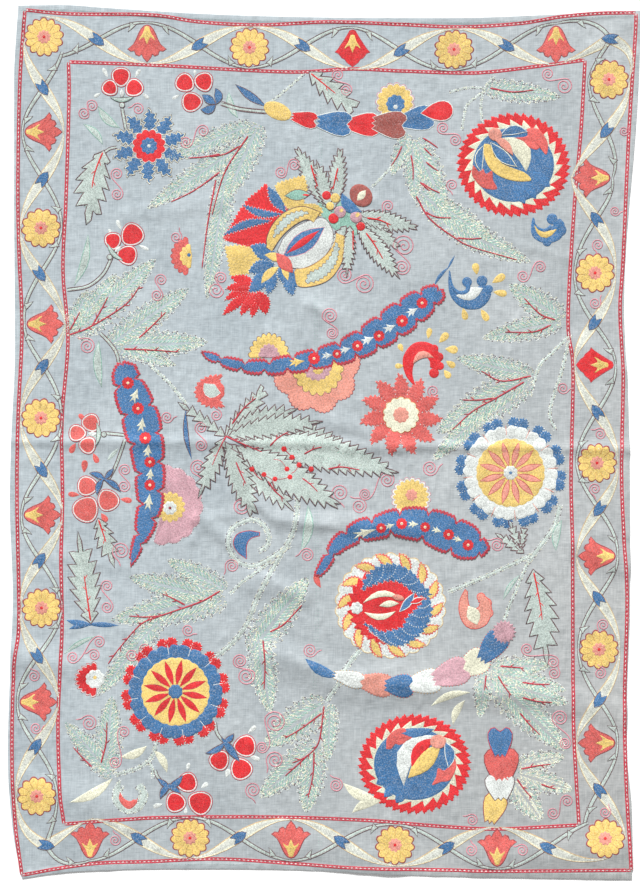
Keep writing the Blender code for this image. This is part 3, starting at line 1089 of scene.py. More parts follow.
# Loose drops beside the berries and the commas: thread, point, round end, half width
DROPS = table(
    Petal,
    ("white", 108, 78, 103, 68, 2.2), ("white", 135, 78, 140, 69, 2.2), ("white", 101, 93, 94, 97, 2),
    ("white", 142, 93, 149, 99, 2), ("white", 112, 237, 109, 229, 1.8), ("white", 121, 230, 117, 220, 2.2),
    ("white", 138, 245, 149, 250, 1.8), ("white", 248, 733, 256, 726, 2.4), ("white", 248, 755, 260, 760, 2.4),
    ("white", 226, 778, 229, 769, 2.8), ("white", 187, 771, 189, 763, 2), ("white", 201, 788, 208, 783, 2.4),
    ("white", 163, 804, 153, 807, 2.6), ("white", 186, 806, 185.5, 814, 1.8), ("white", 180, 95, 172, 99, 1.8),
    ("white", 195, 76, 195, 70, 1.6), ("coral", 86, 422, 79, 414, 2.6), ("coral", 76, 443, 70, 453, 3.2),
    ("coral", 93, 453, 98, 463, 3), ("coral", 84, 473, 85, 460, 3.4), ("coral", 101, 513, 107, 522, 3.2),
    ("coral", 80, 495, 68, 494, 2.8), ("coral", 120, 499, 132, 501, 3), ("yellow", 477, 275, 475, 263, 3.8),
    ("yellow", 492, 283, 505, 275, 4), ("yellow", 493, 292, 507, 294, 3.6), ("yellow", 463, 308, 466, 320, 3.4),
    ("yellow", 481, 309, 488, 321, 3.6), ("yellow", 428, 339, 430, 328, 3), ("yellow", 439, 343, 448, 333, 3.8),
    ("yellow", 445, 349, 458, 350, 4.2), ("yellow", 446, 361, 455, 367, 3.4),
    ("yellow", 444, 370, 450, 378, 3.4), ("yellow", 403, 352, 399, 344, 2.8),
    ("yellow", 404, 366, 395, 366, 2.8),
)

# Single leaves with no teeth: thread, ends, half width, bend, rim, layer
SPRIGS = table(
    Petal,
    ("pearl", 107, 461, 119, 448, 2.4), ("pearl", 88, 436, 112, 434, 3),
    ("pearl", 98, 106, 120, 128, 4.5, 3, "mint"), ("pearl", 83, 124, 103, 145, 3.6, -3, "mint"),
    ("pearl", 88, 234, 74, 286, 4.4, -4, "mint"), ("pearl", 99, 340, 102, 388, 4.6, 3, "mint"),
    ("pearl", 96, 636, 64, 654, 2.6, 2, "mint"), ("pearl", 308, 505, 301, 552, 5, -4, "mint"),
    ("pearl", 562, 520, 556, 551, 4.2, 3, "mint"), ("pearl", 520, 575, 503, 600, 2.5, 2, "mint"),
    ("pearl", 229, 92, 238, 118, 4, 3, "mint"), ("cream", 120, 757, 147, 746, 4.5, 3),
    ("cream", 153, 750, 167, 773, 4, -3), ("cream", 70, 802, 113, 778, 5, 4),
    ("cream", 343, 783, 380, 800, 5.5, 4), ("cream", 352, 813, 383, 801, 5, -4),
    ("cream", 470, 692, 431, 706, 4, 4), ("cream", 465, 700, 453, 725, 4, 3),
    ("blue", 186, 408, 192, 460, 3, 3, "dark"), ("blue", 434, 286, 449, 267, 1.9, -1.5),
    ("blue", 447, 270, 455, 255, 1.2), ("blue", 166, 789, 183, 775, 3.8, 2, "dark", 3),
    ("blue", 172, 783, 160, 799, 3.8, 2, "dark", 3), ("blue", 167, 784, 181, 793, 3.2, 0, "dark", 3),
    ("blue", 171, 789, 157, 778, 3.2, 0, "dark", 3), ("blue", 221, 737, 240, 762, 4.4, 0, "dark", 3),
    ("blue", 226, 741, 205, 753, 3.6, -3, "dark", 3), ("blue", 222, 742, 234, 733, 3.4, 2, "dark", 3),
    ("blue", 106, 481, 89, 473, 3.4, 2, "dark", 3), ("blue", 104, 480, 114, 468, 3, 0, "dark", 3),
    ("blue", 104, 478, 97, 495, 3.4, 2, "dark", 3), ("blue", 103, 479, 121, 492, 3.4, -2, "dark", 3),
)

# The chain of hearts along the upper edge, then the two along the lower, each from its point towards a place
Heart = namedtuple("Heart", "thread x y to_x to_y half rim", defaults=("white",))

HEARTS = table(
    Heart,
    ("blue", 398, 122, 434, 116, 12.5), ("russet", 371, 123, 407, 126, 14), ("scarlet", 345, 124, 380, 125, 12),
    ("blue", 315, 121, 352, 125, 12.5), ("scarlet", 290, 116, 318, 122, 8.5),
    ("white", 333, 674, 364, 682, 8, ""), ("blush", 357, 680, 392, 687, 11.5, ""),
    ("blue", 383, 685, 413, 686, 11.5, ""), ("white", 406, 685, 440, 679, 12, ""),
    ("mauve", 431, 680, 468, 667, 13.5, ""), ("cream", 459, 672, 486, 656, 13, ""),
    ("blue", 480, 662, 503, 633, 12, ""), ("yellow", 489, 824, 498, 794, 12, "maroon"),
    ("white", 501, 801, 499, 773, 15, "dark"), ("coral", 502, 784, 501, 748, 17.5, "maroon"),
    ("blue", 500, 758, 500, 727, 12.5, "crimson"),
)
# The last heart that lies. After it, each of the standing ones lies a layer over the one before.
LAST_LYING = 11
HEART = (
    (0, 0), (3.5, 1.7), (0.5, 4.2), (7, 6.6), (14, 8.8), (20, 10), (26, 10), (31, 7.5), (32, 4.5), (29.5, 2),
    (28, 0),
)

# Long curved leaves: places down the middle with the half width, then rosettes and leaflets
LongLeaf = namedtuple("LongLeaf", "middle rosettes leaflets bulge notch")

LONG_LEAVES = table(
    LongLeaf,
    (((199, 350, 1), (212, 357, 4.5), (238, 365, 6.5), (266, 367, 8), (294, 363.5, 10), (316, 359, 11),
      (337, 353.5, 12), (358, 345, 14), (380, 332, 16), (402, 317, 17), (419, 305, 15.5), (431, 297, 12.5),
      (439, 292, 9), (443.5, 289, 3)),
     ((314, 358.5, 6.5), (337, 354, 5), (357.5, 346, 6), (379, 336, 6), (402, 321, 6.5), (422, 303, 6)),
     (("yellow", 291, 363, 305, 361), ("white", 323, 356, 333, 355), ("white", 341, 351, 351, 348),
      ("white", 363, 342, 374, 337), ("white", 385, 330, 396, 325), ("white", 408, 314, 418, 308)), 23.5, 4.5),
    (((127, 361, 8), (126, 374, 14), (131, 392, 17), (138, 410, 19), (144, 432, 19), (148, 455, 16.5),
      (150, 480, 15), (150, 502, 13.5), (146, 522, 11), (139, 542, 7), (130, 566, 2)),
     ((128, 383, 6.5), (138, 408.5, 6.5), (145.5, 438, 6.5), (150, 462, 6), (150, 485, 6)),
     (("cream", 133, 401, 138, 388), ("cream", 141, 430, 143, 417), ("cream", 147, 456, 149, 444),
      ("cream", 150, 479, 151, 468), ("cream", 148, 508, 150, 493)), 30, 5),
    (((315, 578, 3), (323, 567, 5.3), (331, 554, 7), (342, 541, 9.2), (362, 530.5, 12), (381, 526, 12.5),
      (400, 522.5, 15), (426, 525.5, 18), (450, 534.5, 19.5), (468, 542.5, 18), (480, 548, 12.5), (488, 551, 4)),
     ((381, 528, 5.5), (401.5, 523.5, 6), (425, 527, 5.5), (448.5, 534.5, 6), (468, 545, 6)),
     (("cream", 356, 535, 377, 529), ("cream", 386, 527, 395, 524), ("cream", 409, 524, 419, 524),
      ("cream", 433, 529, 442, 532), ("cream", 454, 538, 463, 541)), 30, 5),
)
LEAFLET = ((1, 0), (-2, 3), (3, 1.6), (2.6, 4.6), (6.5, 2), (11, 0))


def row_ends(row):
    """The two ends of a petal, a lobe or a comma's heart."""
    return complex(row.x0, row.y0), complex(row.x1, row.y1)


def petals(work, rows):
    for row in rows:
        shape = blade(*row_ends(row), row.half, row.bend, row.profile)
        bands = ((row.rim, 0.9),) if row.rim else ()
        work.fill(shape, *bands, row.thread, layer=row.layer)


def ticks(work, shape, thread, spacing=2.5, length=2.2, layer=1):
    """Tiny stitches set across a shape's outline, as chain stitch is tied down at its edge."""
    closed = np.append(shape.outline, shape.outline[0])
    count = max(3, int(abs(np.diff(closed)).sum() / spacing))
    place = even(closed, count + 1)[:-1]
    out = sideways(place, closed=True) * length / 2
    work.stitches(place - out, place + out, thread, 1.0, layer)


def closed_path(points, core=None, step=2.0):
    """A shape round a closed run of points, curved between them, worked in to a place or to its middle."""
    path = smooth_path((*points, points[0]), step)[:-1]
    return round_place(path, path.mean() if core is None else complex(*core))


def stem(work, points, wide=1.8, filling="pearl", layer=0):
    """An outlined stem."""
    path = smooth_path(points, 2.5)
    work.line(path, filling, 2 * wide, layer)
    out = sideways(path)
    for edge in (-wide, wide):
        work.line(path + edge * out, "dark", 0.9, layer + 1)


def tied_row(work, path, spacing, threads, slant=0.0, layer=1):
    """Short stitches along a path, in these threads by turns, a few of them out of turn."""
    count = max(3, int(abs(np.diff(path)).sum() / spacing))
    place = even(path, count)
    heading = -1j * sideways(place) * 0.9 * np.exp(1j * (slant + work.chance.uniform(-0.5, 0.5, count)))
    turn = (np.arange(count) + (work.chance.uniform(0, 1, count) < 0.15)) % len(threads)
    for number, thread in enumerate(threads):
        chosen = turn == number
        if chosen.any():
            wide = 1.0 if thread == "dark" else 1.5
            work.stitches((place - heading)[chosen], (place + heading)[chosen], thread, wide, layer)


def speckled(work, path, width, layer=1):
    """Rows of short stitches side by side along a path, pale and dark by turns."""
    work.line(path, "pearl", 0.55 * width, layer - 1)
    out = sideways(path)
    for row, offset in enumerate(np.linspace(-0.5, 0.5, max(2, round(width / 1.9))) * (width - 1.2)):
        threads = ("white", "dark", "cream", "white") if row % 2 else ("white", "cream", "dark", "white")
        tied_row(work, path + offset * out, 1.9, threads, 0.5 * (-1) ** row, layer)


def vein(work, points, thread="crimson", layer=2, barbed=True):
    """A vein that runs out to a point, with or without short barbs to each side."""
    path = smooth_path(points, 1.8)
    work.line(path, thread, np.linspace(1.7, 1.0, len(path)), layer)
    if not barbed:
        return
    out = sideways(path)
    for number, spot in enumerate(range(5, len(path) - 2, 6)):
        side = 1 if number % 2 else -1
        ahead = -1j * out[spot]
        tip = path[spot] + 4.4 * (ahead + 0.75 * side * out[spot])
        work.line(np.linspace(path[spot], tip, 3), thread, 1.0, layer)


def outlined_leaf(work, start, end, half, bend=0, midrib=0.62, teeth=8.0, layer=0):
    """A deeply toothed leaf with a dark outline, a filling of slanting streaks, and a red midrib."""
    depth = 0.6 * teeth
    ahead = (end - start) / abs(end - start)
    leaf = blade(start, end, max(half - 0.5 * depth, 1.5), bend, count=12)
    leaf = edged(leaf, teeth, depth, pointed=True, steps=4, ahead=ahead)
    work.fill(leaf, "pearl", layer=layer)
    work.line(leaf.outline, "dark", 1.35, layer + 0.9, closed=True)
    for side in (-1, 1):
        share = np.arange(0.06, 0.92, 1.7 / abs(end - start))
        root = start + (end - start) * share + bend * 1j * ahead * np.sin(np.pi * share)
        reach = (1.2 * ahead + side * 1j * ahead) * 0.72 * half * np.sin(np.pi * share) ** 0.8
        part = work.chance.uniform(0.35, 0.7, len(share))
        for number, thread in enumerate(("mint", "cream", "mint", "white")):
            low, high = (root + 0.1 * reach)[number::4], (root + part * reach)[number::4]
            work.stitches(low, high, thread, 1.5, layer + 0.6)
            work.stitches(high, (root + reach)[number::4], "mint" if number else "dark", 1.2, layer + 0.6)
    if midrib:
        bow = bend * 1j * ahead
        t = np.linspace(0.04, midrib, 9)
        path = start + (end - start) * t + bow * np.sin(np.pi * t)
        vein(work, [(p.real, p.imag) for p in path], "scarlet")


def embroider_trefoils(settings):
    """Three berries on a calyx, each berry edged in white and crimson, and the small loose leaves."""
    work = Needlework(settings, 4)
    for trefoil in TREFOILS:
        calyx = complex(trefoil.calyx_x, trefoil.calyx_y)
        stem(work, trefoil.stem, 1.5)
        middle = sum(complex(x, y) for x, y, _ in trefoil.berries) / 3
        for number, (x, y, r) in enumerate(trefoil.berries):
            away = complex(x, y) - calyx
            away = away / abs(away)
            start, end = complex(x, y) - (r + 1.4) * away, complex(x, y) + (r + 1) * away
            berry = blade(start, end, r + 0.8, 0, egg, 12)
            work.fill(berry, ("crimson", 0.8), ("white", 1.2), trefoil.thread, layer=1 + number % 2)
        back = calyx - middle
        back = back / abs(back)
        if trefoil.calyx_thread == "mint":
            boat = blade(calyx - 12j * back - 2 * back, calyx + 12j * back - 2 * back, 2.6, -3)
            work.fill(boat, ("dark", 0.7), ("mint", 1), "pearl", layer=3)
            work.fill(blade(calyx - 1 * back, calyx - 10 * back, 2.4), "white", layer=3)
            work.fill(disc(calyx + 6 * back, 3), ("dark", 0.7), "pearl", layer=3)
        elif trefoil.calyx_thread == "blue":
            for turn in (-1, 0, 1):
                tip = calyx - back * (4 if turn else 11) + turn * 1j * back * 13
                work.fill(blade(calyx + back * 6, tip, 4.4, -turn * 3), ("dark", 0.6), "blue", layer=3)
    petals(work, SPRIGS)
    for row in DROPS:
        work.fill(blade(*row_ends(row), row.half, profile=drop), row.thread)
    stem(work, ((100, 333), (108, 341), (116, 352), (119, 364)), 1.5)
    work.sew("berries_and_sprigs")


def heart(row):
    start, end = complex(row.x, row.y), complex(row.to_x, row.to_y)
    length = abs(end - start)
    profile = [(along * length / 32, out * row.half / 10) for along, out in HEART]
    return placed(profile, start, end - start)


def embroider_hearts(settings):
    """The chains of hearts, each overlapping the next, with a yellow half flower above the upper one."""
    work = Needlework(settings, 5)
    work.fill(bloom(395 + 102j, 20, 15, 0.12), ("rose", 0.8), ("white", 0.9), "yellow")
    work.fill(bloom(395.5 + 104j, 10, 9, 0.14), "blue", layer=1)
    work.dots([395.5 + 107j], 3.2, "white", 2)
    petals(work, (
        Petal("blue", 235, 84, 267, 107, 4.5, 1, "dark"),
        Petal("yellow", 264, 105, 291, 117, 8.5, 0, "", 1, oval),
        Petal("blue", 305, 658, 340, 677, 5.5, 3, "", 0),
    ))
    for number, row in enumerate(HEARTS):
        bands = ((row.rim, 0.9),) if row.rim else ()
        shape = heart(row)
        work.fill(shape, *bands, row.thread, layer=number % 2 + max(1, number - LAST_LYING))
        if not row.rim:
            ticks(work, edged(shape, 4, 0.5), "straw" if row.thread in ("white", "yellow") else "coral", 3.2, 1.8, 2)
    drop_shape = blade(420 + 113.5j, 453.5 + 109.5j, 10.5, profile=drop)
    work.fill(drop_shape, ("white", 0.9), "scarlet", layer=2)
    work.fill(bloom(504 + 632j, 12.5, 17, 0.2, pointed=True), "mauve", layer=3)
    stem(work, ((221, 103), (240, 109), (267, 112)), 1.9)
    work.sew("chains_of_hearts")


def embroider_long_leaves(settings):
    """Long blue leaves with a scalloped scarlet edge, and rosettes and leaflets in a row down the middle."""
    work = Needlework(settings, 6)
    for leaf in LONG_LEAVES:
        path, half = ribbon(leaf.middle, 3.0)
        shape = notched(along_path(path, half - 0.8), leaf.bulge, leaf.notch)
        shape = edged(shape, 3.7, 1.5, steps=4)
        work.fill(shape, ("crimson", 3.0), "blue", layer=4)
        for x, y, r in leaf.rosettes:
            spot = complex(x, y)
            work.fill(bloom(spot, r, 10, 0.14), ("crimson", 0.8), "scarlet", layer=5)
            work.dots([spot], 2.0, "white", 6)
            work.dots([spot], 1.2, "yellow", 7)
        for thread, x0, y0, x1, y1 in leaf.leaflets:
            base, tip = complex(x0, y0), complex(x1, y1)
            size = abs(tip - base) / 11
            profile = [(along * size, out * min(size, 1.1)) for along, out in LEAFLET]
            work.fill(placed(profile, base, tip - base, 2), thread, layer=5)
    petals(work, (Petal("coral", 316, 570, 321, 588, 3.2, 2),))
    work.sew("long_leaves")


def half_flower(work, centre, radius, lobes, start, end, *bands, depth=0.12, layer=0, squash=1.0, scallop=0.0):
    """Part of a flower from one angle to another, in degrees, closed across its middle."""
    count = lobes * 6
    angle = np.radians(np.linspace(start, end, count + 1))
    swing = abs(np.sin(np.pi * np.arange(count + 1) / 6))
    arc = radius * (1 - depth * (1 - swing)) * np.exp(1j * angle)
    outline = np.append(centre + arc.real + 1j * squash * arc.imag, centre)
    shape = round_place(outline, centre + 0.25 * radius * np.exp(1j * np.radians((start + end) / 2)))
    if scallop:
        shape = edged(shape, scallop, 1.5, steps=4)
    work.fill(shape, *bands, layer=layer)
    return shape


def ring_of(work, centre, radius, count, turn, make):
    """Calls make with the place and the heading of each of count places round a centre."""
    for number in range(count):
        ray = np.exp(1j * (np.radians(turn) + 2 * np.pi * number / count))
        make(centre + radius * ray, ray)


Wheel = namedtuple("Wheel", "x y turn outer outer_radius outer_turn ring petal petal_rim hub hub_dot")

WHEELS = table(
    Wheel,
    (510.5, 472.8, 9, "blue", 50.0, 0, "white", "blush", "crimson", "white", "blue"),
    (175.5, 691.5, 5, "scarlet", 48.5, 15, "blue", "scarlet", "crimson", "blue", "blue"),
)


def embroider_wheels(settings):
    """Two wheels: a ring of outer scallops, an inner ring of them, and long petals on a yellow disc."""
    work = Needlework(settings, 7)
    for wheel in WHEELS:
        centre = complex(wheel.x, wheel.y)

        def outer(place, ray):
            for turn in (-0.09, 0.09):
                spot = centre + (place - centre) * np.exp(1j * turn)
                lobe = edged(bloom(spot, 5.4, 5, 0.08), 3.0, 1.5, pointed=True, steps=4)
                work.fill(lobe, wheel.outer, layer=int(turn > 0))
                ticks(work, lobe, "white", 3.0, 1.6, 2)

        def inner(place, ray):
            rim = "blush" if wheel.ring == "white" else "white"
            for turn in (-0.11, 0.11):
                spot = centre + (place - centre) * np.exp(1j * turn)
                work.fill(bloom(spot, 6.9, 5, 0.1), wheel.ring, layer=2.3 + 0.3 * (turn > 0))
            edge = centre + (place - centre) * np.exp(0.262j)
            work.line(edge + ray * np.exp(0.262j) * np.linspace(-6, 7, 4), rim, 0.9, 3)

        def petal(place, ray):
            work.fill(blade(centre + 6 * ray, centre + 32.5 * ray, 3.6), (wheel.petal_rim, 0.8), wheel.petal, layer=4)

        ring_of(work, centre, wheel.outer_radius, 12, wheel.turn + wheel.outer_turn, outer)
        work.fill(bloom(centre, 44.5, 24, 0.04, np.radians(wheel.turn) - 0.13), wheel.ring, layer=2)
        ring_of(work, centre, 40.8, 12, wheel.turn, inner)
        work.fill(bloom(centre, 34.8, 24, 0.03), "yellow", layer=3)
        ring_of(work, centre, 30, 12, wheel.turn + 6, petal)
        work.fill(bloom(centre, 7.4, 8, 0.12), wheel.hub, layer=5)
        work.dots([centre], 2.2, wheel.hub_dot, 6)
    work.sew("wheels")


def toothed_ring(work, centre, radius, inner, teeth, depth, thread, lean, squash, layer=0):
    """A ring with leaning teeth on its outer edge, each of them ragged."""
    ring = edged(disc(0, radius - depth, 60), 2 * np.pi * radius / teeth, depth, True, lean, 4)
    if depth < 6:
        ring = edged(ring, 3.1, 1.1, True, 0, 4)
    out = ring.outline.real + 1j * squash * ring.outline.imag
    even_turn = np.exp(2j * np.pi * np.arange(len(out)) / len(out))
    work.fill(Shape(centre + out, centre + inner * squash * even_turn), thread, layer=layer)


Roundel = namedtuple("Roundel", "x y radius cream body lean squash petals patches")

ROUNDELS = table(
    Roundel,
    (513.4, 164.8, 57, 49.5, 41, 1.0, 0.92,
     (Petal("cream", 502, 138, 526, 172, 8.5, -9, "", 4), Petal("blue", 490, 142, 517, 167, 6, 2, "cream", 6),
      Petal("blush", 492, 137, 513, 156, 4.2, -3, "", 7), Petal("blue", 484, 145, 482, 173, 4.6, 4, "cream", 4),
      Petal("blue", 500, 136, 528, 132, 5, -4, "white", 5),
      Petal("blush", 489, 131, 501, 138, 6.4, 0, "", 7, oval), Petal("blue", 514, 184, 525, 204, 6.5, 0, "", 3),
      Petal("blue", 523, 180, 536, 199, 6.5, 0, "", 3), Petal("blue", 532, 172, 550, 187, 7, 0, "", 3)),
     (("yellow", 5,
       ((484, 144), (483.5, 152), (486, 162), (492, 171), (503, 178), (517, 181.5), (531, 180.5), (525, 173),
        (512, 168), (501, 163), (493, 155), (490, 145))),
      ("coral", 4,
       ((514, 138), (527, 136), (527, 129), (538, 129), (546, 139), (548, 147), (546, 155), (541, 148),
        (536, 150), (528, 147), (522, 141))),
      ("coral", 4,
       ((473, 165), (472, 175), (479, 185), (486, 189), (497, 189), (493, 180), (492, 171), (486, 174),
        (483, 169), (478, 172))))),
    (414.5, 764, 56.5, 49, 41, -1.0, 0.89,
     (Petal("white", 440, 736, 404, 786, 9.5, 17, "", 4), Petal("scarlet", 436, 738, 412, 768, 6.5, 6, "", 5),
      Petal("yellow", 441, 744, 408, 778, 9, 0, "", 5), Petal("blue", 444, 741, 448, 768, 5.5, -4, "white", 6),
      Petal("blue", 400, 733, 434, 729, 5, 2, "", 4), Petal("white", 412, 740, 446, 738, 2.4, 4, "", 4),
      Petal("blush", 430, 741, 446, 742, 7, 0, "", 7, oval), Petal("blue", 395, 786, 384, 797, 5, 0, "", 3),
      Petal("blue", 404, 792, 396, 803, 5, 0, "", 3), Petal("blue", 388, 778, 376, 784, 5, 0, "", 3)),
     (("coral", 4,
       ((386, 749), (387, 738), (395, 730), (404, 728), (408, 733), (414, 735), (408, 741), (400, 745),
        (395, 744), (391, 749))),
      ("coral", 4,
       ((455, 757), (456, 768), (450, 780), (441, 782), (432, 785), (436, 777), (438, 768), (445, 770))))),
)


def embroider_roundels(settings):
    """Two round flowers: a scarlet ring of teeth, a cream one, and petals curling out of a knot on blue."""
    work = Needlework(settings, 8)
    for roundel in ROUNDELS:
        centre = complex(roundel.x, roundel.y)
        squash, lean = roundel.squash, roundel.lean
        toothed_ring(work, centre, roundel.radius, roundel.cream - 6, 48, 4.2, "scarlet", lean * 0.6, squash)
        toothed_ring(work, centre, roundel.cream, roundel.body - 4, 27, 7, "cream", lean, squash, 1)
        body = disc(0, roundel.body, 40)
        body = Shape(centre + body.outline.real + 1j * squash * body.outline.imag, body.core + centre)
        work.fill(body, "blue", layer=2)
        petals(work, roundel.petals)
        for thread, layer, points in roundel.patches:
            work.fill(closed_path(points, step=1.5), thread, layer=layer)
    work.sew("roundels")


FLAME_PETALS = table(
    Petal,
    ("blue", 399, 612, 414.5, 592.5, 4.2, 1, "white", 5), ("cream", 363, 603, 402, 599, 3.2, -7.5, "", 5),
    ("cream", 379, 606, 399, 603.5, 3.4, -1, "", 5), ("cream", 364, 612, 396, 611, 3.2, 5.5, "", 5),
    ("scarlet", 409, 603, 425, 598, 3.2, 0, "white", 5), ("blush", 392, 596, 404, 599, 3, 0, "", 6, oval),
)


def feather_ring(work, outer, inner, count, layer):
    """A blue band from one curve to another, parted into feathers by curved rows of white stitches."""
    band = edged(between(outer, inner, 1.6), 6, 2.6, pointed=True, lean=0.9, steps=4)
    work.fill(band, "blue", layer=layer)
    ticks(work, band, "white", 2.8, 1.4, layer + 1)
    outer, inner = smooth_path(outer, 1.0), smooth_path(inner, 1.0)
    for number in range(count):
        share = (number + np.array([0.4, 1.5])) / (count + 0.9)
        tip = np.interp(share[0], np.linspace(0, 1, len(inner)), inner)
        tail = np.interp(share[1], np.linspace(0, 1, len(outer)), outer)
        t = np.linspace(0.06, 0.94, 8)
        row = tip + (tail - tip) * t + 0.16j * (tail - tip) * np.sin(np.pi * t)
        heading = 0.62 * (tail - tip) / abs(tail - tip)
        work.stitches(row - heading, row + heading, "white", 1.6, layer + 2)


def embroider_flame_flower(settings):
    """A scarlet disc of flames in a half ring of blue feathers, with yellow and coral flames out to white."""
    work = Needlework(settings, 9)
    centre = 390.5 + 605.5j
    ring = edged(disc(0, 54.5, 60), 13, 2.8, steps=6)
    outline = centre + ring.outline.real + 0.95j * ring.outline.imag
    work.fill(Shape(outline, ring.core + centre), ("straw", 0.6), ("cream", 1.2), "white")
    for number in range(14):
        ray = np.exp(1j * (0.1 + 2 * np.pi * number / 14))
        start, end = centre + 35 * ray * np.exp(0.2j), centre + 52.5 * ray * np.exp(-0.16j)
        flame = edged(blade(start, end, 5.2, 2.4), 3.2, 1.5, pointed=True, steps=4)
        work.fill(flame, ("coral", 2.3), "yellow", layer=1)
    work.fill(edged(disc(centre, 38.5, 50), 9, 2, pointed=True, steps=4), "coral", layer=1)
    shape = edged(disc(centre - 5, 34.5, 50), 8, 4.5, pointed=True, lean=-0.75, steps=4)
    work.fill(shape, "scarlet", layer=2)
    feather_ring(work, ((361, 589), (370, 574), (384, 565.5), (398, 566), (412, 573), (422, 585), (430, 595)),
                 ((361, 589), (374, 584), (386, 580), (398, 581), (406, 586), (414, 592), (424, 597)), 6, 3)
    feather_ring(work, ((365, 622), (375, 635), (392, 645), (409, 641), (423, 629), (430, 613), (430, 599)),
                 ((365, 622), (381, 632), (392, 631), (404, 627), (408, 618), (417, 609), (428, 598)), 8, 3)
    petals(work, FLAME_PETALS)
    work.fill(bloom(356.6 + 608j, 6.4, 7, 0.16), "white", layer=5)
    work.sew("flame_flower")


PALMETTE_PATCHES = (
    ("scarlet", (276, 236),
     ((266, 184), (258, 192), (249, 199), (240, 211), (234, 222), (224, 238), (236, 243), (250, 247), (266, 247),
      (276, 226), (288, 208), (277, 199)), 0),
    ("yellow", (243, 262),
     ((225, 247), (240, 246), (252, 248), (262, 258), (265, 266), (256, 271), (244, 274), (232, 277), (229, 262)),
     0),
    ("yellow", (290, 208),
     ((304, 176), (290, 180), (276, 186), (281, 198), (288, 208), (300, 211), (316, 217), (322, 210), (314, 204),
      (303, 203), (307, 190)), 1),
)
PALMETTE = table(
    Petal,
    ("scarlet", 256, 284, 231, 277, 5, 0, "white", 1), ("scarlet", 256, 288, 226, 289, 4.5, 2, "white", 1),
    ("scarlet", 255, 291, 225, 300, 4, 3, "white", 1), ("scarlet", 255, 292, 223, 315, 4.5, 2, "white", 1),
    ("scarlet", 256, 293, 241, 315, 4.5, 1, "white", 1), ("scarlet", 257, 293, 252, 317, 4.5, 0, "white", 1),
    ("scarlet", 258, 291, 266, 314, 6.5, -1, "white", 1), ("blue", 251, 246, 277, 260, 7.5, -1, "white", 2),
    ("blue", 249, 272, 274, 264, 6.5, -1, "white", 2), ("blue", 268, 268, 249, 292, 7, -2, "white", 2),
    ("blue", 274, 270, 268, 294, 5.5, 0, "white", 2), ("blue", 279, 268, 286, 284, 4, 0, "white", 2),
    ("blue", 293, 270, 293, 295, 6.5, 3, "white", 2), ("yellow", 264, 255, 282, 262, 4.5, -2, "", 3),
    ("yellow", 281, 264, 288, 281, 3.6, -1, "", 3), ("yellow", 279, 267, 261, 284, 4.6, 2, "", 3),
    ("blue", 268, 187, 286, 212, 5, 1, "white", 1), ("blue", 243, 205, 281, 214, 3.4, 4, "white", 1),
    ("blue", 224, 235, 271, 221, 3.6, -4, "white", 1), ("blue", 282, 258, 325, 227, 10.5, 0, "rose", 3),
    ("scarlet", 286, 254, 320, 230, 3.9, 0, "", 4), ("coral", 276, 253, 293, 273, 6.5, 0, "", 5),
    ("mint", 284, 196, 311, 194, 6, 0, "dark", 2), ("scarlet", 301, 195, 310, 195, 1.4, 0, "", 3),
    ("blue", 342, 193, 362, 212, 6, 5, "", 4), ("russet", 352, 187, 370, 204, 10.5, 0, "", 3, oval),
    ("cream", 357, 201, 366, 190, 4, 0, "", 4),
)
# The two shells: thread, outer curve, inner curve, rim, size of their teeth, layer
SHELLS = (
    ("yellow", ((266, 248), (267, 236), (274, 222), (286, 211), (303, 206), (321, 212)),
     ((272, 252), (282, 237), (294, 226), (306, 220), (314, 223)), "dark", 0, 3),
    ("pearl", ((273, 238), (277, 227), (287, 216), (300, 211.5), (309, 213)),
     ((273, 238), (283, 229), (293, 220), (302, 215.5), (309, 213)), "dark", 5, 4),
    ("yellow", ((294, 272), (298, 286), (314, 286), (330, 279), (341, 264), (344, 250), (345, 236)),
     ((296, 269), (308, 267), (320, 260), (330, 250), (335, 240), (336, 233)), "straw", 0, 3),
    ("pearl", ((306, 283), (318, 280), (328, 273), (336, 262), (339, 248)),
     ((306, 283), (309, 274), (320, 268), (331, 256), (336, 242)), "dark", 5, 4),
)
PALMETTE_LEAVES = (
    (332, 212, 298, 151, 9.5), (333, 210, 340, 152, 8.5), (330, 210, 318, 166, 7), (352, 214, 414, 227, 9),
    (356, 222, 396, 274, 9.5), (350, 226, 347, 271, 6), (358, 216, 396, 246, 8), (346, 226, 333, 248, 6),
)
PALMETTE_VEINS = (
    ((311, 165), (314, 176), (318, 187)), ((338, 168), (335, 180), (333, 190)),
    ((367, 218), (379, 220), (391, 225)), ((366, 233), (374, 244), (383, 259)),
    ((353, 230), (353, 240), (353, 251)),
)
BEADS = (
    ("scarlet", 326.5, 195.5, 4.6), ("yellow", 335.2, 198, 4.8), ("mauve", 340, 212, 6), ("yellow", 341, 211, 4),
    ("scarlet", 333.5, 218.5, 5.2), ("mauve", 356, 217, 6), ("yellow", 357, 215.5, 4),
    ("scarlet", 360.8, 226.5, 4.4), ("yellow", 330, 206, 4),
)


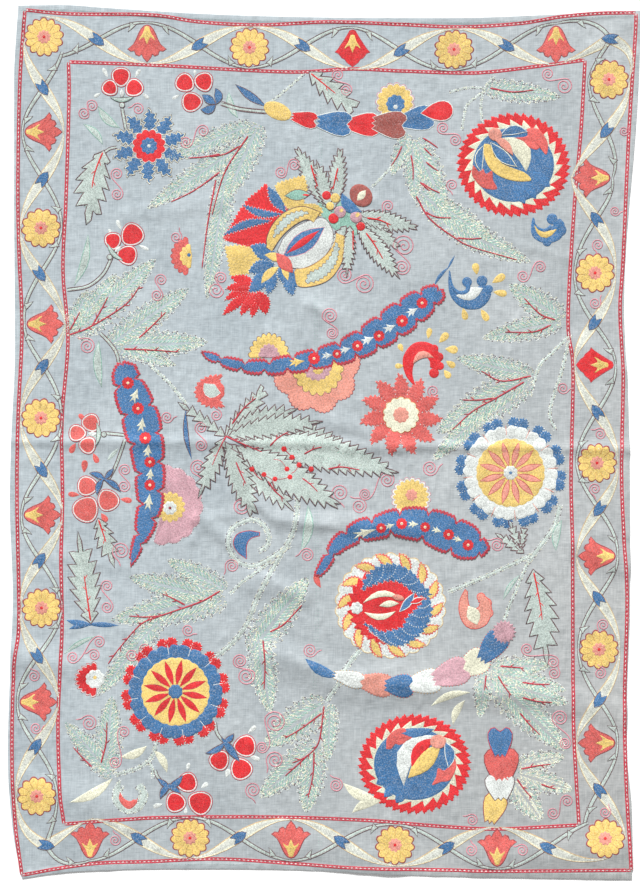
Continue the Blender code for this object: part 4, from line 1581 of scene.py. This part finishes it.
def embroider_palmette(settings):
    """The great flower: a scarlet fan, blue lobes, two yellow shells round a white bud, and leaves above."""
    work = Needlework(settings, 10)
    nest = ((322, 196), (345, 200), (362, 214), (368, 230), (348, 236), (330, 226), (318, 208))
    work.fill(closed_path(nest), "mint")
    for number, (x0, y0, x1, y1, half) in enumerate(PALMETTE_LEAVES):
        outlined_leaf(work, complex(x0, y0), complex(x1, y1), half, 0, 0, 5.5, number % 3 + 0.15 * (number // 3))
    for points in PALMETTE_VEINS:
        vein(work, points, "scarlet", 4)
    for thread, core, points, layer in PALMETTE_PATCHES:
        shape = edged(closed_path(points, core), 4.2, 2.2, pointed=True, steps=4)
        work.fill(shape, thread, layer=layer)
        ticks(work, shape, "white", 3.2, 1.8, layer + 1)
    bud = ((277, 251), (284, 237), (295, 227), (310, 220), (324, 218), (332, 228), (333.5, 241), (325, 256),
           (308, 267), (294, 268.5), (284, 262))
    work.fill(closed_path(bud), ("dark", 0.6), "white", layer=2)
    for row in PALMETTE:
        shape = blade(*row_ends(row), row.half, row.bend, row.profile)
        if row.rim == "white":
            shape = edged(shape, 3.6, 1.5, pointed=True, steps=4)
            work.fill(shape, row.thread, layer=row.layer)
            ticks(work, shape, "white", 2.9, 1.6, row.layer + 1)
        else:
            petals(work, (row,))
    for thread, outer, inner, rim, teeth, layer in SHELLS:
        shell = between(outer, inner, 1.6)
        shell = edged(shell, teeth, 2.0, pointed=True, steps=4) if teeth else shell
        work.fill(shell, (rim, 0.8), thread, layer=layer)
    for thread, x, y, r in BEADS:
        work.fill(disc(complex(x, y), r), thread, layer=4)
    work.sew("great_flower")


def ragged_petals(work, centre, count, turn, inner, outer, half, teeth, *bands):
    """A ring of leaf-like petals with jagged sides, tied down with white."""
    for number in range(count):
        ray = np.exp(1j * (turn + 2 * np.pi * number / count))
        petal = blade(centre + inner * ray, centre + outer * ray, half, 1.5, lens, 10)
        petal = edged(petal, teeth, 0.56 * teeth, pointed=True, lean=0.4, steps=4)
        work.fill(petal, *bands, layer=number % 2)
        ticks(work, petal, "white", 5, 1.2, 2)


# Commas: the heart's ends, then places along the middle with the half width, and the bumps on the outer edge
Comma = namedtuple("Comma", "rim body heart x0 y0 x1 y1 half bend places bumps curl", defaults=((),))

COMMAS = table(
    Comma,
    ("", "blue", "yellow", 534, 225, 557, 229, 3.8, 7.5,
     ((533.5, 217, 0.6), (533.5, 226, 2.6), (537, 233.5, 5.5), (546, 236.5, 7), (555, 233, 8), (559, 226, 6),
      (555, 220, 4)), ((547, 242, 4.5), (560, 230, 6.5), (552, 219, 5.5)),
     ((534, 223, 0.6), (538, 228.5, 1.4), (545, 230.5, 1.7), (552, 226, 2))),
    ("", "blue", "white", 456, 296, 483, 288, 6.5, 2,
     ((449.5, 270, 0.6), (450.5, 284, 2.2), (455, 295, 4.5), (465, 302, 6.5), (477, 301, 8), (484, 293, 7.5),
      (482, 285, 4)), ((489, 289, 4), (482, 281, 5.5), (467, 282, 5)),
     ((451, 285, 0.8), (456.5, 291.5, 1.8), (463, 293, 2.2), (468, 289.5, 2.4), (467, 283, 2.4))),
    ("", "scarlet", "blush", 413, 364, 434, 358, 3.8, -6.5,
     ((415, 386, 0.6), (409, 374, 3.6), (409, 360, 6.5), (417, 350, 7.5), (428, 350, 7), (435, 359, 6),
      (434, 370, 4)), ((425, 347, 4.5), (434, 349, 4.5), (439, 357, 4.5), (440, 366, 4), (434, 373, 5))),
    ("coral", "blush", "cream", 468, 606, 477, 625, 7, -1,
     ((466.5, 589, 1.4), (464, 600, 4.5), (465, 611, 6.5), (472, 619, 10), (480, 617, 10), (485, 608, 7),
      (483, 600, 5), (478, 599, 3)), ((489, 613, 4.5), (487, 603, 5), (481, 597, 4.5))),
)


def embroider_small_flowers(settings):
    """The carnation, the star, the half flowers behind the long leaves, and the crescents and commas."""
    work = Needlework(settings, 11)
    centre = 149 + 146j
    ragged_petals(work, centre, 10, 0.3, 12, 36.5, 5.8, 6.0, ("dark", 0.6), ("cream", 1.0), "blue")
    work.fill(bloom(centre, 17.5, 12, 0.14), ("white", 0.7), "scarlet", layer=2)
    work.fill(bloom(centre, 9, 9, 0.16), "blue", layer=3)
    work.dots([centre], 2.4, "white", 4)

    centre = 401 + 415j
    ragged_petals(work, centre, 11, 0.1, 9, 41, 6.8, 4.4, "coral")
    work.fill(disc(centre, 22, 24), "coral")
    work.fill(bloom(centre, 18.5, 14, 0.1), ("straw", 0.6), "cream", layer=3)
    work.fill(bloom(centre, 8.5, 9, 0.12), "blush", layer=4)

    half_flower(work, 269 + 358j, 21.5, 11, 180, 360, ("dark", 0.8), "yellow", squash=1.2)
    half_flower(work, 269 + 358j, 11.5, 7, 184, 356, "mauve", layer=1, squash=1.3)
    half_flower(work, 316 + 366j, 44.5, 5, -26, 178, ("maroon", 0.9), "blush", depth=0.13, squash=1.08, scallop=4.5)
    half_flower(work, 318 + 367j, 26.5, 10, -25, 172, ("dark", 0.8), "yellow", layer=1, squash=1.12)
    half_flower(work, 317 + 366j, 15.5, 8, -25, 170, "mauve", layer=2)
    half_flower(work, 318 + 369j, 6, 5, -20, 170, "yellow", layer=3)
    flower = half_flower(work, 163 + 505j, 40.5, 9, -96, 104, "mauve", depth=0.06)
    ticks(work, flower, "white", 3.4, 1.8)
    ticks(work, edged(flower, 5, 0.6), "dark", 4.6, 1.2, 1)
    work.fill(bloom(411 + 497j, 20.5, 19, 0.13), ("rose", 0.7), ("white", 1.7), "yellow")
    work.fill(bloom(411.5 + 495j, 6.5, 7, 0.2), "blush", layer=1)
    work.fill(bloom(170 + 507j, 16, 14, 0.16), "yellow", layer=1)
    work.fill(bloom(170 + 508j, 7.5, 8, 0.14), "white", layer=2)
    work.dots([170 + 508j], 2.2, "maroon", 3)
    half_flower(work, 190 + 256j, 20, 9, 96, 264, ("crimson", 0.6), "coral")
    half_flower(work, 192 + 256j, 13, 6, 95, 262, "yellow", layer=1)
    work.dots([189 + 255j], 2.6, "blue", 2)

    crescent = blade(222 + 375j, 224 + 407j, 10.5, 17, count=14)
    work.fill(edged(crescent, 4.6, 2.4, pointed=True, steps=4), "coral")
    work.fill(bloom(213 + 391j, 12, 9, 0.06), "coral")
    ticks(work, edged(crescent, 5, 1), "white", 4.5, 1.6)
    work.fill(blade(204 + 383j, 221 + 393j, 7.5, 3), ("white", 0.7), "pearl", layer=1)
    moon = between(((260, 532), (248, 530.5), (237, 534), (233, 543), (237, 552), (246, 559)),
                   ((260, 536), (251, 539), (247, 546), (247, 559)), 1.6)
    work.fill(moon, ("crimson", 0.8), "blue")
    half_flower(work, 99 + 679.5j, 25, 11, 98, 264, ("crimson", 0.6), ("white", 0.9), "scarlet", squash=0.75)
    work.fill(bloom(95 + 679j, 10, 8, 0.12), "white", layer=1)
    work.dots([95 + 677.5j], 2.6, "yellow", 2)
    ring = between(((119, 780), (114, 790), (115, 804), (127, 812), (141, 808), (147, 795), (141, 783)),
                   ((121, 785), (120, 794), (122, 804), (130, 808), (138, 802), (141, 793), (136, 786)))
    work.fill(ring, "pearl")
    bird = between(((120, 791), (119, 799), (124, 806), (130, 809), (137, 803), (138, 797)),
                   ((120, 791), (124, 798), (130, 801), (134, 799), (136, 800), (138, 797)), 1.6)
    work.fill(bird, "coral", layer=1)
    work.fill(blade(66 + 620j, 93 + 625j, 3.6, 1), "blue")
    work.fill(blade(69 + 629j, 92 + 624j, 3, -1), "blue", layer=1)
    work.fill(blade(86 + 624j, 119 + 625.5j, 2.8, 0), "blue")

    for comma in COMMAS:
        bands = ((comma.rim, 0.9), comma.body) if comma.rim else (comma.body,)
        work.fill(along_path(*ribbon(comma.places)), *bands, layer=1)
        for x, y, r in comma.bumps:
            work.fill(disc(complex(x, y), r), *bands, layer=1)
        work.fill(blade(*row_ends(comma), comma.half, comma.bend), comma.heart, layer=3)
        if comma.curl:
            work.fill(along_path(*ribbon(comma.curl)), comma.body, layer=4)
    work.sew("small_flowers")


CLUSTER = (
    (225, 436, 262, 391, 8, 2), (226, 436, 290, 412, 10, -3), (228, 436, 314, 423, 10, -3),
    (232, 438, 344, 447, 13, -8), (240, 442, 391, 472, 17, -6), (236, 446, 334, 503, 16, 0),
    (230, 444, 288, 505, 13, 0), (226, 442, 252, 510, 11, 0), (224, 438, 202, 489, 8, 0),
    (225, 436, 186, 408, 3.5, 0),
)
CLUSTER_VEINS = (
    ((232, 424), (244, 408), (256, 398)), ((226, 436), (243, 444), (262, 452)),
    ((236, 462), (241, 474), (246, 484)), ((226, 436), (218, 452), (212, 466)),
    ((328, 469), (342, 467), (360, 470)), ((302, 478), (310, 484), (318, 492)),
    ((304, 454), (314, 449), (322, 447)), ((268, 481), (274, 490), (284, 499)),
    ((270, 446), (278, 438), (288, 432)),
)
BERRIES = (
    (252, 469), (264, 474.5), (275, 479), (290, 477), (287, 469), (299, 465), (292, 457.5), (284, 449),
    (311, 469),
)

BERRY_STEMS = (
    ((284, 449), (288, 453), (292, 457)), ((299, 465), (295, 471), (290, 474)),
    ((264, 475), (272, 480), (274, 489)), ((252, 469), (257, 476), (262, 480)),
    ((275, 479), (282, 479), (290, 477)), ((287, 469), (281, 461), (272, 459)),
)

LEAVES = (
    (91, 624, 80, 546, 13, 0, 12.5), (98, 518, 111, 557, 8, 0, 9.5), (533, 569, 545, 652, 13, -2, 13),
    (524, 553, 501, 537, 4, 0, 6), (521, 551, 511, 525, 3.4, 0, 6), (521, 549, 524, 529, 3, 0, 5),
    (309, 72, 352, 107, 9.5, 0, 11.5), (104, 150, 92, 213, 14, 5, 13),
)

Lobe = namedtuple("Lobe", "x0 y0 x1 y1 half bend thread", defaults=(0, "mint"))

LOBES = table(
    Lobe,
    (250, 125, 165, 160, 9), (235, 150, 148, 208, 10), (228, 165, 207, 298, 10), (258, 125, 225, 200, 12),
    (408, 135, 392, 175, 7), (412, 140, 415, 200, 9), (415, 140, 447, 215, 12), (418, 190, 530, 262, 13, 8),
    (440, 205, 492, 240, 10), (486, 88, 560, 97, 9), (68, 335, 88, 290, 8), (72, 333, 116, 274, 9),
    (75, 335, 155, 260, 13), (110, 345, 188, 289, 12), (115, 347, 207, 342, 12), (130, 352, 175, 365, 6),
    (562, 320, 510, 285, 12), (560, 322, 483, 338, 10), (532, 376, 457, 358, 10), (530, 378, 437, 432, 16),
    (500, 395, 433, 460, 10), (225, 590, 168, 560, 10), (220, 600, 130, 577, 12), (225, 598, 112, 620, 14),
    (160, 618, 98, 695, 10), (252, 650, 308, 578, 14), (258, 640, 270, 712, 12), (326, 703, 265, 745, 15),
    (318, 745, 260, 797, 13), (315, 750, 306, 812, 12), (330, 705, 328, 760, 8), (112, 775, 66, 723, 10),
    (105, 772, 112, 697, 12), (490, 668, 552, 665, 9), (490, 672, 565, 690, 10), (495, 680, 568, 703, 10),
    (490, 675, 565, 750, 15), (485, 672, 480, 717, 8), (518, 766, 564, 756, 9, 0, "cream"),
    (518, 774, 572, 790, 10, 0, "cream"), (513, 780, 541, 820, 12, 0, "cream"),
)

# The veins of the sprays. Those that start above this row of the plan have no barbs.
BARBED_BELOW = 270
VEINS = (
    ((220, 154), (204, 157), (188, 158)), ((220, 172), (195, 190), (171, 202)),
    ((216, 180), (208, 222), (202, 268)), ((248, 136), (225, 172), (212, 215)),
    ((240, 146), (225, 154), (210, 157)), ((402, 146), (397, 157), (391, 166)),
    ((411, 155), (413, 168), (413, 180)), ((424, 148), (428, 152), (432, 156)),
    ((420, 182), (425, 187), (430, 191)), ((423, 138), (431, 143), (438, 148)),
    ((426, 162), (432, 167), (438, 171)), ((422, 183), (431, 189), (440, 193)),
    ((416, 196), (430, 219), (455, 238), (472, 247), (517, 260)), ((457, 238), (470, 239), (482, 238)),
    ((425, 212), (436, 217), (451, 218)), ((490, 88), (512, 92), (534, 90)),
    ((69, 335), (90, 327), (125, 305), (140, 286)), ((92, 326), (100, 312), (108, 297)),
    ((70, 330), (75, 321), (80, 312)), ((139, 338), (150, 328), (166, 312)),
    ((124, 349), (150, 350), (179, 352)), ((555, 320), (540, 314), (524, 298)),
    ((551, 325), (533, 332), (505, 332)), ((531, 376), (502, 381), (481, 371)),
    ((524, 382), (496, 398), (473, 411), (452, 430)), ((495, 398), (479, 400), (462, 400)),
    ((220, 591), (200, 602), (160, 616), (140, 625), (118, 650), (108, 664)),
    ((185, 605), (174, 599), (163, 594)), ((160, 616), (144, 617), (129, 616)),
    ((270, 632), (284, 624), (302, 605)), ((263, 640), (265, 664), (264, 690)),
    ((324, 706), (319, 741), (308, 755), (292, 763)), ((322, 713), (302, 728), (285, 738)),
    ((308, 755), (296, 766), (285, 776)), ((314, 752), (313, 775), (308, 798)),
    ((92, 767), (82, 757), (73, 747)), ((101, 763), (106, 743), (107, 722)),
    ((500, 666), (512, 667), (524, 668)), ((486, 675), (485, 683), (484, 690)),
    ((498, 676), (504, 686), (511, 695)), ((522, 682), (536, 684), (550, 684)),
    ((522, 697), (537, 701), (552, 702)), ((520, 713), (530, 725), (540, 735)),
    ((521, 769), (536, 766), (551, 764)), ((541, 784), (549, 787), (556, 789)),
    ((517, 779), (524, 789), (532, 798)),
)

# Stems of scattered stitches: how wide, then the places along them
DOTTED = (
    (6,
     ((298, 497), (296, 520), (291, 537), (280, 556), (266, 581), (256, 601), (246, 626), (227, 648), (204, 664))),
    (6,
     ((290, 545), (271, 558), (254, 566), (240, 563), (231, 553), (228, 541), (232, 529), (243, 522), (255, 520),
      (265, 527), (269, 538), (266, 547), (259, 551))), (4, ((272, 561), (255, 573), (241, 583), (230, 594))),
    (4, ((570, 335), (553, 352), (540, 365), (533, 385))), (4, ((570, 335), (562, 370), (550, 410), (555, 430))),
    (6, ((560, 505), (555, 525), (545, 540), (528, 562))), (4, ((528, 562), (516, 590), (506, 615), (500, 640))),
    (5, ((532, 555), (500, 570), (470, 583), (448, 592))), (6, ((340, 682), (334, 690), (326, 702))),
    (6, ((338, 680), (348, 665), (360, 650))), (4, ((150, 365), (170, 384), (187, 405))),
    (5, ((115, 775), (138, 768), (152, 757), (157, 740))), (4, ((148, 760), (152, 768), (153, 778))),
    (3, ((372, 187), (382, 177), (393, 165))), (3, ((305, 73), (288, 88), (270, 103))),
    (3, ((494, 76), (485, 88), (481, 104), (482, 122))), (3, ((485, 88), (467, 88), (450, 92))),
    (3, ((483, 92), (468, 104), (464, 116), (462, 130))),
    (3, ((120, 780), (114, 791), (115, 803), (126, 812), (140, 809), (147, 796), (142, 784))),
    (3, ((123, 786), (121, 795), (128, 804), (137, 802), (140, 793), (136, 787))),
)

# Tendrils: the middle of each spiral, and its size where it isn't six rows across to each side
TENDRILS = (
    (92, 106), (84, 113), (138, 109), (117, 174), (117, 194), (186, 142), (203, 131), (338, 75), (346, 90),
    (281, 172), (294, 165), (388, 206), (404, 246, 11), (402, 267, 8), (364, 284, 10), (345, 275, 8), (221, 278),
    (216, 290, 8), (330, 316, 8), (332, 333), (443, 128), (455, 140), (452, 185), (548, 74), (564, 86, 8),
    (540, 267), (523, 276), (176, 237), (161, 280), (157, 295), (87, 346, 8), (433, 391), (563, 388), (167, 417),
    (198, 467, 8), (201, 428), (201, 445), (216, 415), (241, 506, 9), (340, 493, 9), (387, 480, 8), (365, 494),
    (359, 506, 8), (307, 555, 7), (232, 566, 7), (430, 468, 8), (497, 545, 7), (125, 470), (124, 486),
    (121, 551, 9), (107, 586), (107, 607), (73, 657), (99, 642), (94, 655), (132, 655), (145, 650), (188, 630),
    (89, 723, 8), (124, 732), (115, 762), (240, 661, 7), (246, 676, 9), (275, 722, 11), (262, 747),
    (275, 760, 9), (253, 790, 8), (336, 785, 7), (527, 649), (553, 662), (554, 673), (560, 718, 8), (565, 743),
    (553, 813), (567, 801), (472, 820), (310, 650, 7), (34, 676), (36, 728), (115, 840), (471, 850), (522, 850),
    (598, 245), (595, 303), (615, 211, 5), (624, 131, 5), (600, 434), (595, 489), (603, 625), (600, 673),
    (605, 812),
)


def embroider_leaves(settings):
    """The cluster of toothed leaves with berries on it, and the single toothed leaves."""
    work = Needlework(settings, 12)
    for number, (x0, y0, x1, y1, half, bend) in enumerate(CLUSTER):
        outlined_leaf(work, complex(x0, y0), complex(x1, y1), half, bend, 0, 8.5, number % 3 + 0.15 * (number // 3))
    for points in CLUSTER_VEINS:
        vein(work, points, "crimson", 4)
    for points in BERRY_STEMS:
        work.line(smooth_path(points, 1.8), "crimson", 1.0, 3)
    work.dots([complex(x, y) for x, y in BERRIES], 3.0, "scarlet", 4)
    for x0, y0, x1, y1, half, bend, teeth in LEAVES:
        outlined_leaf(work, complex(x0, y0), complex(x1, y1), half, bend, 0.62 * (half > 5), teeth)
    stem(work, ((117, 147), (109, 149), (103, 154)), 1.2)
    work.sew("toothed_leaves")


def lobe_half(lobe, share):
    """Half the width of a spray's lobe at a share of its length: blunt at its base and pointed at its tip."""
    return lobe.half * np.maximum(np.sin(np.pi * (0.1 + 0.9 * np.clip(share, 0, 1)) ** 0.8), 0) ** 0.65


def within(lobe, places):
    """Which places lie well inside a lobe."""
    start, end = row_ends(lobe)
    run = end - start
    local = (places - start) / run
    out = abs(local.imag * abs(run) - lobe.bend * np.sin(np.pi * local.real))
    return (local.real > 0.04) & (local.real < 0.9) & (out < 0.72 * lobe_half(lobe, local.real))


# The threads of the rows round a spray's lobe, from its edge inwards
EDGE_THREADS = (
    ("white", "dark", "cream", "white"), ("cream", "pearl", "mint", "dark"), ("mint", "cream", "pearl", "pearl"),
)


def feathered(work, lobe):
    """A lobe of a spray: streaks slant out from its middle line, and rows of short stitches run round it."""
    start, end = row_ends(lobe)
    run = end - start
    length = abs(run)
    heading = run / length

    def beside(share, out):
        return start + run * share + 1j * heading * (out + lobe.bend * np.sin(np.pi * share))

    for side in (-1, 1):
        share = np.arange(0.02, 0.93, 2.0 / length)
        out = lobe_half(lobe, share)
        reach = heading * np.exp(0.6j * side) * np.minimum(out * 1.6, (1.04 - share) * length)
        root = beside(share, 0)
        turn = np.arange(len(share)) % 4
        pairs = (lobe.thread, "pearl"), ("pearl", lobe.thread), (lobe.thread, "cream"), ("pearl", "mint")
        for number, threads in enumerate(pairs):
            for thread, low, high in zip(threads, (0.05, 0.42), (0.5, 0.86)):
                near, far = (root + low * reach)[turn == number], (root + high * reach)[turn == number]
                work.stitches(near, far, thread, 1.5, 0)
        share = np.linspace(0, 1, max(12, int(length)))
        ragged = 0.94 + 0.42 * (share * length / 9 % 1)
        for row, depth in enumerate((0, 1.9, 3.8)):
            edge = beside(share, side * np.maximum(lobe_half(lobe, share) * ragged - depth, 0))
            free = ~np.any([within(other, edge) for other in LOBES if other is not lobe], axis=0)
            for part in np.split(np.arange(len(edge)), np.flatnonzero(np.diff(free.astype(int))) + 1):
                if free[part[0]] and len(part) > 4:
                    tied_row(work, edge[part], 1.7 + 0.3 * row, EDGE_THREADS[row], 0.6 * side)
        count = int(0.07 * length * lobe.half)
        share = work.chance.uniform(0, 0.95, count)
        place = beside(share, side * work.chance.uniform(0.1, 0.9, count) * lobe_half(lobe, share))
        turn = 0.9 * heading * np.exp(1j * side * work.chance.uniform(0.2, 1.2, count))
        work.stitches(place - turn, place + turn, "cream", 1.3, 1)


def embroider_sprays(settings):
    """Feathery sprays of leaves, their crimson veins, and the dotted stems."""
    work = Needlework(settings, 13)
    for lobe in LOBES:
        feathered(work, lobe)
    work.sew("spray_leaves")
    work = Needlework(settings, 14)
    for points in VEINS:
        vein(work, points, barbed=points[0][1] > BARBED_BELOW)
    for width, points in DOTTED:
        speckled(work, smooth_path(points), width)
    work.sew("spray_stems")


def embroider_tendrils(settings):
    """Spirals whose radius shrinks as they turn. Two that lie close share one S, with a link between them.

    A spiral that starts beside the link at i*u, where u points to its neighbour, is centre + r i u (1-t)^0.85
    e^(i turns t). The link is a + (b - a) t + r i u cos(pi t).
    """
    work = Needlework(settings, 15)
    t = np.linspace(0, 1, 34)
    rows = list(TENDRILS)
    while rows:
        x, y, *size = rows.pop(0)
        centre, radius = complex(x, y), size[0] if size else 6
        turns = 2 * np.pi * (2.1 if radius < 7 else 2.5) * t
        inward = radius * 1j * (1 - t) ** 0.85 * np.exp(1j * turns)
        near = rows and abs(complex(*rows[0][:2]) - centre) < 32
        if near:
            x, y, *size = rows.pop(0)
            other = complex(x, y)
            second = size[0] if size else 6
            u = (other - centre) / abs(other - centre)
            s = np.linspace(0, 1, 12)[1:-1]
            link = centre + (other - centre) * s + 1j * u * np.cos(np.pi * s) * (radius + (second - radius) * s)
            outward = (centre + u * inward)[::-1]
            work.line(np.concatenate([outward, link, other - u * inward * second / radius]), "rose", 1.2, 1)
        else:
            u = np.exp(1j * work.chance.uniform(0, 2 * np.pi))
            tail = centre + u * (1j * radius + np.linspace(radius, 1, 5) + 0.4j * np.linspace(1, 0, 5) ** 2 * radius)
            work.line(np.concatenate([tail[:-1], centre + u * inward]), "rose", 1.2, 1)
    work.sew("tendrils")


def set_stage(settings):
    """A pale floor, a broad lamp from the top left, even light all round, and the camera overhead."""
    scene = bpy.context.scene
    floor = bpy.data.meshes.new("floor")
    corners = [(x * FLOOR_REACH, y * FLOOR_REACH, FLOOR_HEIGHT) for x, y in ((-1, -1), (1, -1), (1, 1), (-1, 1))]
    floor.from_pydata(corners, [], [(0, 1, 2, 3)])
    desk = NodeDesk("pale_floor")
    place = desk.node("ShaderNodeTexCoord").outputs["Object"]
    grain = desk.noise(place, 3.0)
    desk.feed(desk.shader.inputs["Base Color"], desk.mix(grain, (0.93, 0.93, 0.93), (0.96, 0.96, 0.96)))
    desk.shader.inputs["Roughness"].default_value = 0.8
    desk.shader.inputs["Specular IOR Level"].default_value = 0.1
    floor.materials.append(desk.material)
    floor_object = bpy.data.objects.new("floor", floor)
    scene.collection.objects.link(floor_object)

    world = bpy.data.worlds.new("soft_sky")
    world.use_nodes = True
    world.node_tree.nodes["Background"].inputs[0].default_value = (1, 1, 1, 1)
    world.node_tree.nodes["Background"].inputs[1].default_value = settings.sky
    scene.world = world

    lamp = bpy.data.lights.new("main_lamp", "SUN")
    lamp.energy = settings.lamp
    lamp.angle = LAMP_ANGLE
    lamp_object = bpy.data.objects.new("main_lamp", lamp)
    lamp_object.rotation_euler = (np.radians(LAMP_TILT), 0, np.radians(LAMP_TURN))
    scene.collection.objects.link(lamp_object)

    camera = bpy.data.cameras.new("camera")
    camera.lens = CAMERA_LENS
    camera.sensor_width = SENSOR
    camera.clip_end = CAMERA_REACH
    frame_length = PHOTO_LENGTH * ROW
    away = frame_length * CAMERA_LENS / SENSOR
    x = (PHOTO_WIDTH / 2 - MIDDLE.real) * ROW
    y = (MIDDLE.imag - PHOTO_LENGTH / 2) * ROW
    camera_object = bpy.data.objects.new("camera", camera)
    camera_object.location = (x, y, away + THICKNESS)
    scene.collection.objects.link(camera_object)
    scene.camera = camera_object
    scene.view_settings.view_transform = "Standard"


class SuzaniStep:
    """What the operators share: each works from the settings that are kept with the scene."""

    bl_options = {"REGISTER"}

    @staticmethod
    def run(context, *steps):
        for step in steps:
            step(context.scene.suzani)
        return {"FINISHED"}


class SUZANI_OT_cloth(SuzaniStep, bpy.types.Operator):
    """Lays the two silk panels, with their folds and hems"""

    bl_idname = "suzani.cloth"
    bl_label = "Silk panels"

    def execute(self, context):
        return self.run(context, lay_cloth, sew_hems)


class SUZANI_OT_border(SuzaniStep, bpy.types.Operator):
    """Embroiders the border's lines, its vine and its flowers"""

    bl_idname = "suzani.border"
    bl_label = "Border"

    def execute(self, context):
        return self.run(context, embroider_border_lines, embroider_vine, embroider_border_flowers)


class SUZANI_OT_berries(SuzaniStep, bpy.types.Operator):
    """Embroiders the berries, the small leaves and the chains of hearts"""

    bl_idname = "suzani.berries"
    bl_label = "Berries and hearts"

    def execute(self, context):
        return self.run(context, embroider_trefoils, embroider_hearts)


class SUZANI_OT_leaves(SuzaniStep, bpy.types.Operator):
    """Embroiders the long blue leaves and the toothed leaves"""

    bl_idname = "suzani.leaves"
    bl_label = "Leaves"

    def execute(self, context):
        return self.run(context, embroider_long_leaves, embroider_leaves)


class SUZANI_OT_wheels(SuzaniStep, bpy.types.Operator):
    """Embroiders the wheels, the roundels and the flame flower"""

    bl_idname = "suzani.wheels"
    bl_label = "Round flowers"

    def execute(self, context):
        return self.run(context, embroider_wheels, embroider_roundels, embroider_flame_flower)


class SUZANI_OT_flowers(SuzaniStep, bpy.types.Operator):
    """Embroiders the great flower and the small flowers"""

    bl_idname = "suzani.flowers"
    bl_label = "Flowers"

    def execute(self, context):
        return self.run(context, embroider_palmette, embroider_small_flowers)


class SUZANI_OT_sprays(SuzaniStep, bpy.types.Operator):
    """Embroiders the feathery sprays, their stems and the tendrils"""

    bl_idname = "suzani.sprays"
    bl_label = "Sprays and tendrils"

    def execute(self, context):
        return self.run(context, embroider_sprays, embroider_tendrils)


class SUZANI_OT_stage(SuzaniStep, bpy.types.Operator):
    """Sets out the floor, the light and the camera"""

    bl_idname = "suzani.stage"
    bl_label = "Stage"

    def execute(self, context):
        return self.run(context, set_stage)


OPERATORS = (
    SUZANI_OT_cloth, SUZANI_OT_border, SUZANI_OT_berries, SUZANI_OT_leaves, SUZANI_OT_wheels, SUZANI_OT_flowers,
    SUZANI_OT_sprays, SUZANI_OT_stage,
)


class SUZANI_PT_panel(bpy.types.Panel):
    """The suzani's settings and steps"""

    bl_idname = "SUZANI_PT_panel"
    bl_label = "Suzani"
    bl_space_type = "VIEW_3D"
    bl_region_type = "UI"
    bl_category = "Suzani"

    def draw(self, context):
        settings = context.scene.suzani
        for group in (settings, settings.threads):
            for name in group.__annotations__:
                if name != "threads":
                    self.layout.prop(group, name)
        for operator in OPERATORS:
            self.layout.operator(operator.bl_idname)


CLASSES = (ThreadColours, ClothSettings, *OPERATORS, SUZANI_PT_panel)


def register():
    for kind in CLASSES:
        bpy.utils.register_class(kind)
    bpy.types.Scene.suzani = PointerProperty(type=ClothSettings)


def unregister():
    del bpy.types.Scene.suzani
    for kind in reversed(CLASSES):
        bpy.utils.unregister_class(kind)


def main():
    register()
    bpy.ops.suzani.cloth()
    bpy.ops.suzani.border()
    bpy.ops.suzani.berries()
    bpy.ops.suzani.leaves()
    bpy.ops.suzani.wheels()
    bpy.ops.suzani.flowers()
    bpy.ops.suzani.sprays()
    bpy.ops.suzani.stage()


if __name__ == "__main__":
    main()
